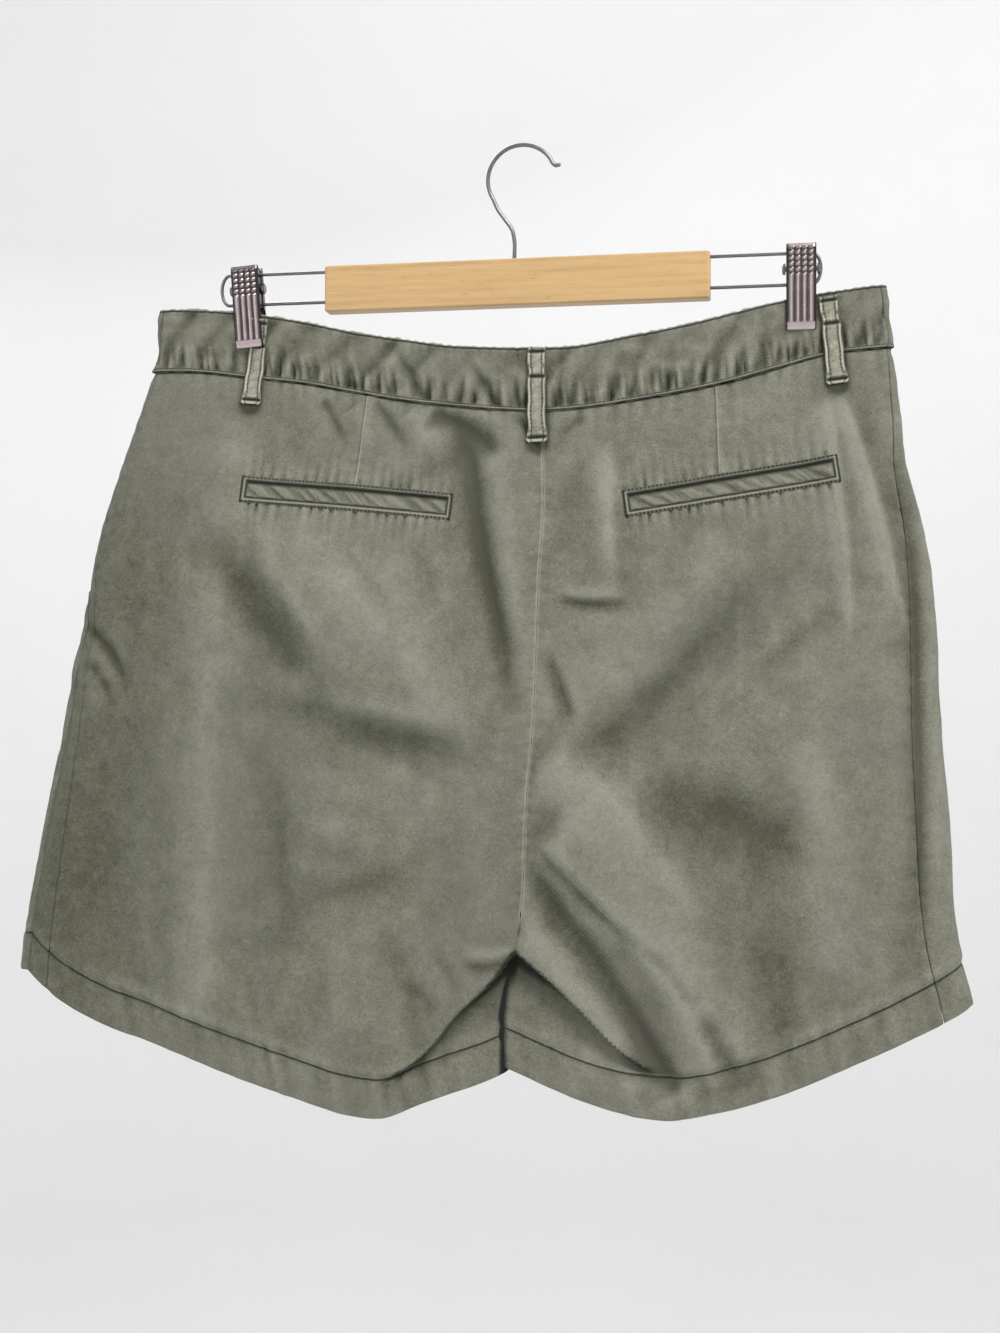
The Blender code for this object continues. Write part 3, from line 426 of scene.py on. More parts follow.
# Crumpled creases of the waistband: size across, size down, height, seed
BAND_CREASES = ((22.0, 13.0, 0.9, 45), (9.0, 11.0, 0.5, 46))
BAND_TOP_STITCH = 1.5
BAND_LOW_STITCH = 1.7
BAND_SCALLOPS = (5.6, 1.0, 3.4, 44)

# ---------------------------------------------------------------- pieces sewn on

TRIM_LIFT = 0.35
TRIM_WALL = 1.2
TRIM_ROUND = 0.7
TRIM_PITCH = 2.4
WELT_HEIGHT = 13.5
WELT_MARGIN = 1.3
# Welt pockets: name, inner end across, inner end height, outer end across, outer end height
WELTS = (
    ("welt_left", -42.5, -215.4, -167.5, -203.7),
    ("welt_right", 64, -216, 185, -197.9),
)
# Distances in from the edge of a welt pocket: stitches, raised strip, opening and inner line
WELT_STITCH = 0.7
WELT_STRIP = 1.9
WELT_OPENING = 3.3
WELT_LINE = 3.1
# Lowest relief of a welt pocket, which keeps it just above the panel
WELT_FLOOR = -0.2
# Distances of a welt's first points from its edges
WELT_NEAR = (0.0, 0.3, 0.6, 0.95, 1.3, 1.65, 2.0, 2.35, 2.7, 3.05, 3.4, 3.8, 4.2)
# Gathers of a welt: pitch, lean, height, seed
WELT_GATHERS = ((12.5, 1.43, 0.85, 61), (5.0, 0.9, 0.25, 65))
LOOP_WIDTH = 11.6
LOOP_BOW = 1.8
# Belt loops: name, face (-1 back, 1 front), top across, top height, end across, end height, bow
LOOPS = (
    ("belt_loop_back_left", -1, -161.8, -98.5, -167.6, -150.5, 0),
    ("belt_loop_back_middle", -1, 11, -122.6, 11, -178.5, LOOP_BOW),
    ("belt_loop_back_right", -1, 180, -96.8, 185.4, -147.8, LOOP_BOW),
    ("belt_loop_front_left", 1, -118, -112, -122, -163, LOOP_BOW),
    ("belt_loop_front_right", 1, 118, -113.5, 122, -164, LOOP_BOW),
)
LOOP_STITCH_INSET = 2.5
LOOP_TACKS = (0.045, 0.31, 0.945)
MOUTH_WIDTH = 9.0
MOUTH_STITCH = 1.6
# Slash pocket mouths of the front: name, top across, top height, end across, end height
MOUTHS = (
    ("pocket_mouth_left", -162, -140, -246, -258),
    ("pocket_mouth_right", 154, -141, 212, -258),
)
FLY_WIDTH = 36.0
FLY_TOP = -172.0
FLY_BOTTOM = -318.0
# Width that is left at the fly's lower end
FLY_TIP = 4.0
# Distances of its rows of stitches from its sewn edge
FLY_STITCHES = (2.2, 8.0)
TAB_LIFT = 2.6
TAB_SHARE = 0.13
BUTTON_PLACE = (-14.0, -150.0)
BUTTON_HOLE = 1.5
# Half of a button: height over the cloth, distance from its axis
BUTTON_PROFILE = (
    (1.75, 0.05), (1.75, 3.6), (1.95, 4.6), (2.55, 5.6), (2.95, 6.6), (2.95, 7.5),
    (2.5, 8.2), (1.8, 8.5), (1, 8.3), (0.35, 7.2), (0.1, 5), (0.1, 0.05),
)

# ---------------------------------------------------------------- hanger

HOOK_WIRE = 1.2
HOOK_CENTRE_Z = -19.5
HOOK_RADIUS = 20.7
# Hook below and beyond its crown: across, height
HOOK_STEM = [
    (-4.6, -81.5), (-4.6, -66.0), (-4.6, -56.0), (-6.0, -49.5), (-10.0, -43.5), (-14.6, -37.0),
]
HOOK_TIP = [(20.2, -12.0), (22.6, -11.6)]
WIRE_RADIUS = 1.0
WIRE_UPPER_Z = -70.3
WIRE_LOWER_Z = -88.6
WIRE_MIDDLE_Z = (WIRE_UPPER_Z + WIRE_LOWER_Z) / 2.0
# Wires: node, end inside the bar, end of the loop, side
WIRES = (("wire_left", -96.6, -187.5, -1), ("wire_right", 88.2, 176.0, 1))
CLIP_WIDTH = 17.3
CLIP_TOP = -65.5
CLIP_BOTTOM = -115.8
CLIP_INNER = 5.9
CLIP_WALL = 1.0
CLIP_FLANGE = 4.6
CLIP_CORNER = 1.5
CLIP_RIB_PITCH = 3.75
CLIP_RIB_HEIGHT = 1.1
CLIP_STUD_PITCH = 3.3
# Heights over which the ribs, the studs and the lip of a clip begin and end
CLIP_RIBS_TOP = (-82.6, -84.0)
CLIP_RIBS_BOTTOM = (-112.3, -111.0)
CLIP_STUDS_TOP = (-67.6, -68.4)
CLIP_STUDS_BOTTOM = (-82.8, -82.4)
CLIP_LIP_TOP = (-112.6, -113.6)
SPRING_TURNS = 7
SPRING_HALF_WIDTH = 5.2
SPRING_RADIUS = 4.3
SPRING_WIRE = 0.75
# Clips: name, across, lean in degrees
CLIPS = (("clip_left", -170.8, 4.0), ("clip_right", 164.8, 0.0))
# Half of a clip's pin: distance from the clip's middle, radius
PIN_PROFILE = ((9.0, 1.5), (9.3, 3.3), (10.4, 3.3), (11.0, 2.6), (11.0, 0.6))

# ---------------------------------------------------------------- looks

OLIVE_DARK = (0.085, 0.087, 0.058)
OLIVE = (0.190, 0.192, 0.147)
OLIVE_PALE = (0.330, 0.330, 0.272)
OLIVE_GREY = (0.192, 0.184, 0.172)
WORN_DARK = (0.140, 0.144, 0.105)
WORN = (0.320, 0.320, 0.255)
WORN_PALE = (0.560, 0.555, 0.460)
THREAD = (0.026, 0.027, 0.019)
STEEL = (0.24, 0.23, 0.22)
CLIP_METAL = (0.66, 0.555, 0.56)
TWILL_SCALE = 460.0
# Drawn lines: how much of a groove's painted shade and of a worn line shows, and their shares of the
# pale colour
GROOVE_SHARE = 0.96
GROOVE_DARK = 0.035
WORN_SHARE = 0.6
WORN_BRIGHT = 1.3

STITCH_RADIUS = 0.27
STITCH_START = 0.3
STITCH_SIDES = 5
# Rings of a stitch: share along it, height over the cloth, share of its radius
STITCH_BOW = ((0.0, -0.22, 0.7), (0.2, 0.16, 1.0), (0.8, 0.16, 1.0), (1.0, -0.22, 0.7))

# Area lights: name, place in metres, size, power in watts, colour, aim
LIGHTS = (
    ("key", (1.10, -1.35, 1.60), 0.9, 43.0, (1.0, 0.995, 0.98), (0.0, 0.0, -0.33)),
    ("fill", (-1.5, -1.5, -0.1), 1.4, 1.8, (0.97, 0.98, 1.0), (0.0, 0.0, -0.33)),
    ("back", (-0.9, 1.5, 1.3), 1.0, 20.0, (1.0, 0.99, 0.98), (0.0, 0.0, -0.33)),
    ("wall", (0.0, 0.9, 1.7), 1.6, 15.6, (1.0, 1.0, 1.0), (0.0, 2.5, -0.6)),
    ("front_wall", (0.0, -0.9, 1.9), 1.6, 4.5, (1.0, 1.0, 1.0), (0.0, -2.5, -0.6)),
)
WORLD_COLOUR = (0.95, 0.96, 0.98)
WORLD_STRENGTH = 0.18

# The camera stands 1.05 m from the hook, a little to the right and level
CAMERA_PLACE = (0.16896, -1.03405, -0.31101)
CAMERA_TURN = (90.0, 0.0, 10.0)
CAMERA_SENSOR = 36.0
CAMERA_LENS = 1750.0 / 1333.0 * CAMERA_SENSOR


# ---------------------------------------------------------------- tables and curves

SIDES = ((-1, "left"), (1, "right"))
FACES = ((-1, "back"), (1, "front"))


def read_table(table, column, at):
    """Reads a column of a table smoothly at the given places of its first column."""
    rows = np.array(table, float)
    keys, values = rows[:, 0], rows[:, column]
    if keys[0] > keys[-1]:
        keys, values = keys[::-1], values[::-1]
    slopes = np.gradient(values, keys)
    at = np.clip(np.asarray(at, float), keys[0], keys[-1])
    cell = np.clip(np.searchsorted(keys, at) - 1, 0, len(keys) - 2)
    span = keys[cell + 1] - keys[cell]
    u = (at - keys[cell]) / span
    rise = values[cell] * (2 * u**3 - 3 * u**2 + 1) + values[cell + 1] * (3 * u**2 - 2 * u**3)
    bend = slopes[cell] * (u**3 - 2 * u**2 + u) + slopes[cell + 1] * (u**3 - u**2)
    return rise + bend * span


def smooth_step(low, high, value):
    u = np.clip((np.asarray(value, float) - low) / (high - low), 0.0, 1.0)
    return u * u * (3.0 - 2.0 * u)


def bump(value, middle, width):
    return np.exp(-(((value - middle) / width) ** 2))


def least(*values):
    """The smallest of some distances at each point."""
    return functools.reduce(np.minimum, values)


def most(*values):
    """The largest of some shares at each point."""
    return functools.reduce(np.maximum, values)


def run_along(points):
    """Distance along a path to each of its points."""
    steps = np.linalg.norm(np.diff(points, axis=0), axis=1)
    return np.concatenate([[0.0], np.cumsum(steps)])


def smooth_path(knots, count):
    """Evenly read points of a smooth curve through the knots."""
    knots = np.array(knots, float)
    run = run_along(knots)
    table = np.column_stack([run, knots])
    at = np.linspace(0.0, run[-1], count)
    return np.stack([read_table(table, 1 + axis, at) for axis in range(knots.shape[1])], axis=1)


# Length over which uneven waves are worked out, with 0 in its middle
WAVE_SPAN = 1300.0


def uneven_wave(at, pitch, seed):
    """Wave from -1 to 1 whose crests come at uneven distances and heights."""
    random = np.random.default_rng(seed)
    count = int(WAVE_SPAN / pitch * 2.0)
    knots = np.cumsum(pitch * random.uniform(0.28, 0.72, count)) - WAVE_SPAN / 2.0
    signs = np.where(np.arange(count) % 2, 1.0, -1.0)
    heights = signs * random.uniform(0.25, 1.0, count)
    cell = np.clip(np.searchsorted(knots, at) - 1, 0, count - 2)
    u = smooth_step(knots[cell], knots[cell + 1], at)
    return heights[cell] * (1.0 - u) + heights[cell + 1] * u


def gathers(at, pitch, seed):
    """Uneven wave with narrow deep valleys between broad crests, as in gathered cloth."""
    wave = uneven_wave(at, pitch, seed)
    return 0.6 * wave - 1.1 * np.maximum(-wave - 0.15, 0.0) ** 1.4


# Cells of the noise's repeating lattice along each axis
NOISE_CELLS = 32


def noise(points, size, seed):
    """Smooth value noise from -1 to 1 whose pattern has a size for each axis."""
    lattice = np.random.default_rng(seed).uniform(-1.0, 1.0, (NOISE_CELLS,) * 3)
    place = points / np.array(size) + 1000.0
    cell = np.floor(place).astype(int)
    part = place - cell
    part = part * part * (3.0 - 2.0 * part)
    total = 0.0
    for corner in range(8):
        step = np.array([corner & 1, corner >> 1 & 1, corner >> 2 & 1])
        weight = np.prod(np.where(step, part, 1.0 - part), axis=-1)
        i, j, k = np.moveaxis((cell + step) % NOISE_CELLS, -1, 0)
        total = total + weight * lattice[i, j, k]
    return total


def off_path(x, z, path):
    """Distance from a path, negative on its -X side as it runs down, and the share along it."""
    best = np.full(x.shape, 1e9)
    signed = np.zeros(x.shape)
    along = np.zeros(x.shape)
    steps = np.diff(path, axis=0)
    run = run_along(path)
    for index, step in enumerate(steps):
        length = np.linalg.norm(step)
        dx, dz = x - path[index, 0], z - path[index, 1]
        t = np.clip((dx * step[0] + dz * step[1]) / length**2, 0.0, 1.0)
        far = np.hypot(dx - t * step[0], dz - t * step[1])
        side = np.where(step[0] * dz - step[1] * dx < 0.0, -1.0, 1.0)
        nearer = far < best
        best = np.where(nearer, far, best)
        signed = np.where(nearer, side * far, signed)
        along = np.where(nearer, (run[index] + t * length) / run[-1], along)
    return signed, along


def fold_sum(table, x, z):
    """How far the folds of a table sink the cloth at each point."""
    total = np.zeros(x.shape)
    for depth, low_width, high_width, roundness, starts, ends, knots in table:
        reach = 3.0 * max(low_width, high_width)
        path = smooth_path(knots, 5 * len(knots))
        low, high = path.min(axis=0) - reach, path.max(axis=0) + reach
        near = (x > low[0]) & (x < high[0]) & (z > low[1]) & (z < high[1])
        if not near.any():
            continue
        off, along = off_path(x[near], z[near], path)
        width = np.where(off < 0.0, low_width, high_width)
        shape = np.exp(-(((off / width) ** 2 + 0.01) ** (roundness / 2.0)))
        fade = smooth_step(0.0, starts, along) * smooth_step(1.0, 1.0 - ends, along)
        total[near] += depth * fade * shape
    return total


# ---------------------------------------------------------------- the form


def outline_x(side, z):
    return read_table(BODY_OUTLINE, 1 if side < 0 else 3, z)


def centre_x(z):
    return read_table(BODY_OUTLINE, 2, z)


def front_drop(x, face):
    drop = np.clip(1.0 - (np.asarray(x) / FRONT_WAIST_HALF_WIDTH) ** 2, 0.0, 1.0)
    return (face > 0) * FRONT_WAIST_DROP * drop


def waist_top(x, face):
    return read_table(WAIST_EDGES, 1, x) - front_drop(x, face)


def waist_seam(x, face):
    return read_table(WAIST_EDGES, 2, x) - front_drop(x, face)


def hem_z(side, face, x):
    return read_table(LEFT_HEM if side < 0 else RIGHT_HEM, 1 if face < 0 else 2, x)


def half_depth(face, x, z):
    """Depth of the back (face -1) or front (face 1) from the middle plane, without its folds."""
    below = smooth_step(WAIST_FLAT, WAIST_BLEND, waist_top(x, face) - z)
    at_waist = read_table(WAIST_HALF_DEPTH, 1, x)
    body = read_table(BODY_HALF_DEPTH, 1 if face < 0 else 2, z)
    centre = centre_x(z)
    edge = np.where(x < centre, outline_x(-1, z), outline_x(1, z))
    across = (x - centre) / (edge - centre)
    body = body * (1.0 - SIDE_FLATTEN * np.clip(across, 0.0, 1.0) ** 3)
    return at_waist * (1.0 - below) + body * below


def section(side, z):
    """Half section of the body at each height, from the centre back round the side to the front.

    It returns the points across and in depth, and how far along the curve each lies.
    """
    z = z[:, None]
    centre = centre_x(z)
    width = np.abs(outline_x(side, z) - centre)
    open_leg = smooth_step(CROTCH_TOP, CROTCH_BOTTOM, z)
    gap = (SEAM_GAP + (LEG_GAP - SEAM_GAP) * open_leg) / 2.0
    start = 0.5 * math.pi * (1.0 - open_leg)
    turn = start + (0.5 * math.pi - start) * np.linspace(0.0, 1.0, INSEAM_POINTS)[None, :]
    inner_edge = gap + INSEAM_ROUND * (np.cos(start) - np.cos(turn))
    flat_start = gap + INSEAM_ROUND * np.cos(start)
    bend = 0.5 * math.pi * np.linspace(0.0, 1.0, BEND_POINTS)[None, :]

    faces = []
    for face in (-1, 1):
        near_side = half_depth(face, centre + side * (width - 24.0), z)
        flat_end = width - SIDE_ROUND * near_side
        flat = flat_start + (flat_end - flat_start) * np.linspace(0.0, 1.0, FLAT_POINTS)[None, :]
        edge_depth = half_depth(face, centre + side * flat_end, z)
        side_edge = flat_end + (width - flat_end) * np.sin(bend)
        inner_depth = half_depth(face, centre + side * inner_edge, z) * np.sin(turn)
        flat_depth = half_depth(face, centre + side * flat, z)
        out = np.concatenate([inner_edge, flat[:, 1:], side_edge[:, 1:]], axis=1)
        deep = [inner_depth, flat_depth[:, 1:], (edge_depth * np.cos(bend))[:, 1:]]
        deep = np.concatenate(deep, axis=1)
        faces.append((out, face * (deep + SEAM_GAP / 2.0 * open_leg)))
    out = np.concatenate([faces[0][0], faces[1][0][:, -2::-1]], axis=1)
    y = np.concatenate([faces[0][1], faces[1][1][:, -2::-1]], axis=1)
    x = centre + side * out
    steps = np.hypot(np.diff(x, axis=1), np.diff(y, axis=1))
    run = np.concatenate([np.zeros((len(z), 1)), np.cumsum(steps, axis=1)], axis=1)
    return x, y, run


def seam_run(side, x, run):
    """Distance along each section from the centre back to the side seam."""
    inset = read_table(SIDE_SEAM_INSET, 1 if side < 0 else 2, LEVELS)
    found = np.empty(len(run))
    half = x.shape[1] // 2
    for row in range(len(run)):
        target = np.abs(x[row, : half + 1] - x[row, 0])
        found[row] = np.interp(target[-1] - inset[row], target, run[row, : half + 1])
    return found


def level_section(side):
    """The section of a half at every level, with the run to its side seam."""
    x, y, run = section(side, LEVELS)
    return x, y, run, seam_run(side, x, run)


SECTIONS = {side: level_section(side) for side in (-1, 1)}


def form_sheet(side, face, shares):
    """Outer surface of a quarter of the garment at every level, at shares of its width.

    The last value of each point is its distance along the cloth from the centre seam.
    """
    x, y, run, seam = SECTIONS[side]
    sheet = np.empty((len(LEVELS), len(shares), 3))
    for row in range(len(LEVELS)):
        total = run[row, -1]
        width = seam[row] if face < 0 else total - seam[row]
        away = shares * (width - SEAM_GAP / 2.0)
        at = away if face < 0 else total - away
        sheet[row, :, 0] = np.interp(at, run[row], x[row])
        sheet[row, :, 1] = np.interp(at, run[row], y[row])
        sheet[row, :, 2] = away
    return sheet


def read_sheet(sheet, z):
    """Points of a sheet where each column meets the given heights, and their distances along."""
    place = np.clip((LEVELS[0] - z) / LEVEL_STEP, 0.0, len(LEVELS) - 1.001)
    cell = place.astype(int)
    part = (place - cell)[..., None]
    column = np.arange(sheet.shape[1])[None, :]
    found = sheet[cell, column] * (1.0 - part) + sheet[cell + 1, column] * part
    points = np.stack([found[..., 0], found[..., 1], z], axis=-1)
    return points, found[..., 2]


def edge_heights(sheet, side, edge):
    """Height of the waist's top, the waist seam or the hem where each column meets it."""
    readers = {
        "hem": lambda x, face: hem_z(side, face, x),
        "seam": waist_seam,
        "top": waist_top,
    }
    read = readers[edge]
    first_guess = -550.0 if edge == "hem" else -130.0
    z = np.full(sheet.shape[1], first_guess)
    for _ in range(6):
        x, y, _ = read_sheet(sheet, z[None, :])[0][0].T
        z = np.where(y < 0.0, read(x, -1), read(x, 1))
    return z


def spaced(length, spacing, near=(0.0, 0.25, 0.7, 1.4, 2.4)):
    """Distances from 0 to a length, closer together near both ends."""
    near = np.array(near)
    inner = length - 2.0 * near[-1]
    middle = np.linspace(0.0, inner, max(3, int(round(inner / spacing)) + 1)) + near[-1]
    return np.concatenate([near[:-1], middle, (length - near[:-1])[::-1]])


def grid_normals(points, face):
    """Unit normals of a grid of points, turned to point out of the back or the front."""
    normal = np.cross(np.gradient(points, axis=1), np.gradient(points, axis=0))
    normal /= np.linalg.norm(normal, axis=2, keepdims=True) + 1e-12
    middle = normal[normal.shape[0] // 2, normal.shape[1] // 2]
    return normal if middle[1] * face > 0 else -normal


# ---------------------------------------------------------------- relief of the cloth


def on_back(y):
    """Share of the back's folds that a point takes: all on the back, none on the front."""
    return smooth_step(4.0, -4.0, y)


def crumple(points):
    """Fine uneven creases: broad swells and narrow ridges."""
    total = 0.0
    for across, down, height, seed in CRUMPLES:
        pattern = noise(points, (across, across, down), seed)
        other = noise(points[..., ::-1], (down, across, across), seed + 50)
        ridge = 1.0 - np.abs(pattern) * 2.2
        total = total + height * (0.6 * other + 0.6 * ridge)
    return total


def puckers(spec, at, away, lean=0.0):
    """Small ridges that run off a seam and fade away from it."""
    pitch, height, reach, seed = spec
    return height * np.exp(-np.maximum(away, 0.0) / reach) * gathers(at + lean * away, pitch, seed)


def welt_relief(x, z):
    """Puckers that run off the welt pockets, and the flat bed under each of them."""
    total = np.zeros(x.shape)
    for _, inner_x, inner_z, outer_x, outer_z in WELTS:
        length = math.hypot(outer_x - inner_x, outer_z - inner_z)
        ux, uz = (outer_x - inner_x) / length, (outer_z - inner_z) / length
        u = (x - inner_x) * ux + (z - inner_z) * uz
        v = np.abs((z - inner_z) * ux - (x - inner_x) * uz)
        inside = smooth_step(-3.0, 3.0, u) * smooth_step(length + 3.0, length - 3.0, u)
        away = v - WELT_HEIGHT / 2.0
        rows = puckers(WELT_PUCKERS, u, away) * smooth_step(-1.0, 1.5, away)
        total += inside * (rows - 0.9 * smooth_step(1.0, -1.0, away))
    return total


def dart_relief(x, z):
    """Height of the back darts' seams, and the signed distance and weight that draw them."""
    height = np.zeros(x.shape)
    distance = np.full(x.shape, 30.0)
    weight = np.zeros(x.shape)
    for top_x, top_z, end_x, end_z in DARTS:
        off = off_path(x, z, np.array(((top_x, top_z), (end_x, end_z))))[0]
        on = smooth_step(14.0, 6.0, np.abs(off)) * smooth_step(top_z + 2.0, top_z, z)
        height += on * (puckers(DART_PUCKERS, z, np.abs(off)) + 0.5 * bump(off, 0.0, 7.0))
        height += on * 0.35 * bump(off, 1.2, 1.2)
        closer = np.abs(off) < np.abs(distance)
        distance = np.where(closer, off, distance)
        weight = np.maximum(weight, on)
    return height, distance, weight


def at_fold_edges(x, z):
    """For each folded edge: its side, distances inside it, shares along it, cloth on its side."""
    for side, knots in ((-1, FOLD_EDGE_LEFT), (1, FOLD_EDGE_RIGHT)):
        off, along = off_path(x, z, smooth_path(knots, 24))
        yield side, -side * off, along, side * (x - centre_x(z)) > -2.0


def fold_edges(x, z):
    """Depth of the cloth folded over the inseams, and how far its edge laps sideways."""
    hem = np.where(x < centre_x(z), hem_z(-1, -1, x), hem_z(1, -1, x))
    above_hem = smooth_step(15.0, 30.0, z - hem)
    height = np.zeros(x.shape)
    lap = np.zeros(x.shape)
    for side, inside, along, here in at_fold_edges(x, z):
        start = smooth_step(*FOLD_EDGE_START, z) * here * smooth_step(1.0, 0.84, along)
        step = smooth_step(0.0, FOLD_EDGE_STEP, inside)
        settle = 0.35 + 0.65 * smooth_step(FOLD_EDGE_WIDTH, 2.0, inside)
        height -= FOLD_EDGE_DEPTH * step * settle * start * above_hem
        height += FOLD_EDGE_CREST * bump(inside, -2.5, 3.0) * start * above_hem
        lapping = bump(inside, -0.5, 2.6) * smooth_step(-476.0, -499.0, z)
        lap += -side * FOLD_EDGE_LAP * lapping * above_hem
    below = (z < FOLD_EDGE_TOP) & (z - hem < 90.0)
    return np.where(below, height, 0.0), np.where(below, lap, 0.0)


def fold_shade(x, z):
    """Share of the dark inner side of the cloth folded over the inseams."""
    shade = np.zeros(x.shape)
    for _, inside, along, here in at_fold_edges(x, z):
        near, deep = (np.exp(-np.maximum(inside, 0.0) / reach) for reach in FOLD_SHADE)
        dark = 0.85 * near + 0.75 * deep * smooth_step(0.55, 0.05, along)
        start = here * smooth_step(*FOLD_SHADE_START, z) * smooth_step(1.0, 0.9, along)
        shade = np.maximum(shade, dark * smooth_step(-0.6, 0.6, inside) * start)
    return np.clip(shade, 0.0, 1.0) * (z < FOLD_EDGE_TOP)


def loop_shade(points):
    """Share of the shade that the belt loops cast on the cloth beside them."""
    x, y, z = np.moveaxis(points, -1, 0)
    shade = np.zeros(x.shape)
    for _, face, top_x, top_z, end_x, end_z, _ in LOOPS:
        path = np.array(((top_x, top_z), (end_x, end_z)))
        off, along = off_path(x, z, path)
        past = np.abs(off) - LOOP_WIDTH / 2.0
        beside = np.exp(-np.maximum(past, 0.0) / 1.6) * (0.45 + 0.55 * smooth_step(0.2, 0.8, along))
        shade = np.maximum(shade, beside * (y * face > 0.0))
    return shade


def panel_relief(points, from_centre, from_side, from_top, from_hem):
    """Height of the panel's cloth over its form, and the distances of its drawn lines."""
    x, y, z = np.moveaxis(points, -1, 0)
    back = on_back(y)
    height = -back * BACK_GAIN * fold_sum(BACK_FOLDS, x, z)
    height = height - (1.0 - back) * FRONT_GAIN * fold_sum(FRONT_FOLDS, x, z)
    height = height * smooth_step(-2.0, 10.0, from_top)
    height = height * (0.4 + 0.6 * smooth_step(16.0, 28.0, from_hem))
    height = height - 1.1 * np.exp(-from_top / 1.6)
    height = height + crumple(points) * (0.35 + 0.65 * smooth_step(0.0, 20.0, from_top))
    height = height + puckers(WAIST_PUCKERS, x, from_top) * smooth_step(0.0, 2.0, from_top)
    closed = smooth_step(CROTCH_BOTTOM, CROTCH_TOP, z)
    height = height + puckers(CENTRE_PUCKERS, z, from_centre, 0.25) * (0.3 + 0.7 * closed)
    height = height + puckers(SIDE_PUCKERS, z, from_side, -0.2)
    in_hem = smooth_step(-6.0, 1.5, HEM_STITCH - from_hem)
    off = from_hem - HEM_STITCH
    hem = puckers(HEM_PUCKERS, x + 0.25 * from_hem, np.abs(off) * 0.45)
    hem = hem + puckers(HEM_FINE_PUCKERS, x, np.abs(off))
    height = height + hem * (0.25 + 0.75 * in_hem)
    height = height - 0.85 * bump(off, 0.0, 1.5) + 0.7 * bump(off, 5.0, 4.5)
    darts, seam_mm, seam_on = dart_relief(x, z)
    height = height + back * (darts + welt_relief(x, z))
    over = np.maximum(height - FOLD_RISE, 0.0)
    height = height - over + FOLD_RISE_LEFT * np.tanh(over / FOLD_RISE_LEFT)
    lines = {"seam_mm": seam_mm, "seam_on": seam_on * (back > 0.5)}
    return height, lines


def flank_fall(points):
    """How far the back's cloth sinks towards the front beside each side fold."""
    x, y, z = np.moveaxis(points, -1, 0)
    total = np.zeros(x.shape)
    for side, fall in FLANK_FALL:
        across = (x - centre_x(z)) / (outline_x(side, z) - centre_x(z))
        total += fall * smooth_step(0.48, 0.97, across) * smooth_step(-190.0, -330.0, z)
    return total * on_back(y)


def painted_shading_of(points):
    """Patches of painted highlight and painted shade, on the back."""
    x, y, z = np.moveaxis(points, -1, 0)
    total = np.zeros(x.shape)
    for middle_x, middle_z, half_width, half_height, lean, tone in PAINTED_SHADING:
        down = middle_z - z
        across = (x - middle_x - lean * down) / half_width
        total += tone * np.exp(-(across**2) - (down / half_height) ** 2)
    return total * on_back(y)


def blurred(values, rounds):
    """A grid of values, softened by averaging each with its neighbours."""
    for _ in range(rounds):
        padded = np.pad(values, 1, mode="edge")
        values = (padded[1:-1, :-2] + padded[1:-1, 2:] + padded[:-2, 1:-1] + padded[2:, 1:-1]) / 4.0
    return values


def wear_and_shade_of(height):
    """Share of worn paleness and painted shade: lighter where the cloth stands out from its
    surroundings, darker where it sinks.
    """
    return np.clip(0.5 + 0.32 * (height - blurred(height, 30)), 0.0, 1.0)


# ---------------------------------------------------------------- meshes


def add_mesh(name, points, faces, sharp_angle=60.0, unit=MM):
    """Smooth mesh object, whose edges that turn by more than the angle stay sharp."""
    mesh = bpy.data.meshes.new(name)
    mesh.from_pydata((np.asarray(points) * unit).tolist(), [], faces)
    mesh.update()
    mesh.shade_smooth()
    if sharp_angle:
        mesh.set_sharp_from_angle(angle=math.radians(sharp_angle))
    made = bpy.data.objects.new(name, mesh)
    bpy.context.scene.collection.objects.link(made)
    return made


def grid_quads(rows, columns, first=0):
    """Quads between neighbours of a grid whose points start at an index."""
    corner = first + np.arange(rows * columns).reshape(rows, columns)
    a, b = corner[:-1, :-1].ravel(), corner[:-1, 1:].ravel()
    c, d = corner[1:, 1:].ravel(), corner[1:, :-1].ravel()
    return np.stack([a, b, c, d], axis=1)


def rim_quads(rows, columns, second):
    """Quads that close the wall round the border of two matching grids."""
    border = list(range(columns))
    border += [row * columns + columns - 1 for row in range(1, rows)]
    border += [(rows - 1) * columns + column for column in range(columns - 2, -1, -1)]
    border += [row * columns for row in range(rows - 2, 0, -1)]
    a = np.array(border)
    b = np.roll(a, -1)
    return np.stack([b, a, a + second, b + second], axis=1)


def shell(name, outer, inner, attributes, sharp_angle=60.0):
    """Closed solid between two matching grids, with a float attribute for each named array."""
    rows, columns = outer.shape[:2]
    second = rows * columns
    points = np.concatenate([outer.reshape(-1, 3), inner.reshape(-1, 3)])
    faces = [grid_quads(rows, columns), grid_quads(rows, columns, second)[:, ::-1]]
    faces = np.concatenate(faces + [rim_quads(rows, columns, second)])
    corners = points[faces[(rows // 2) * (columns - 1) + columns // 2]]
    facing = np.cross(corners[2] - corners[0], corners[3] - corners[1])
    if np.dot(facing, outer[rows // 2, columns // 2] - inner[rows // 2, columns // 2]) < 0.0:
        faces = faces[:, ::-1]
    made = add_mesh(name, points, faces.tolist(), sharp_angle)
    for key, values in attributes.items():
        layer = made.data.attributes.new(key, "FLOAT", "POINT")
        layer.data.foreach_set("value", np.tile(values.ravel(), 2).astype(np.float32))
    return made


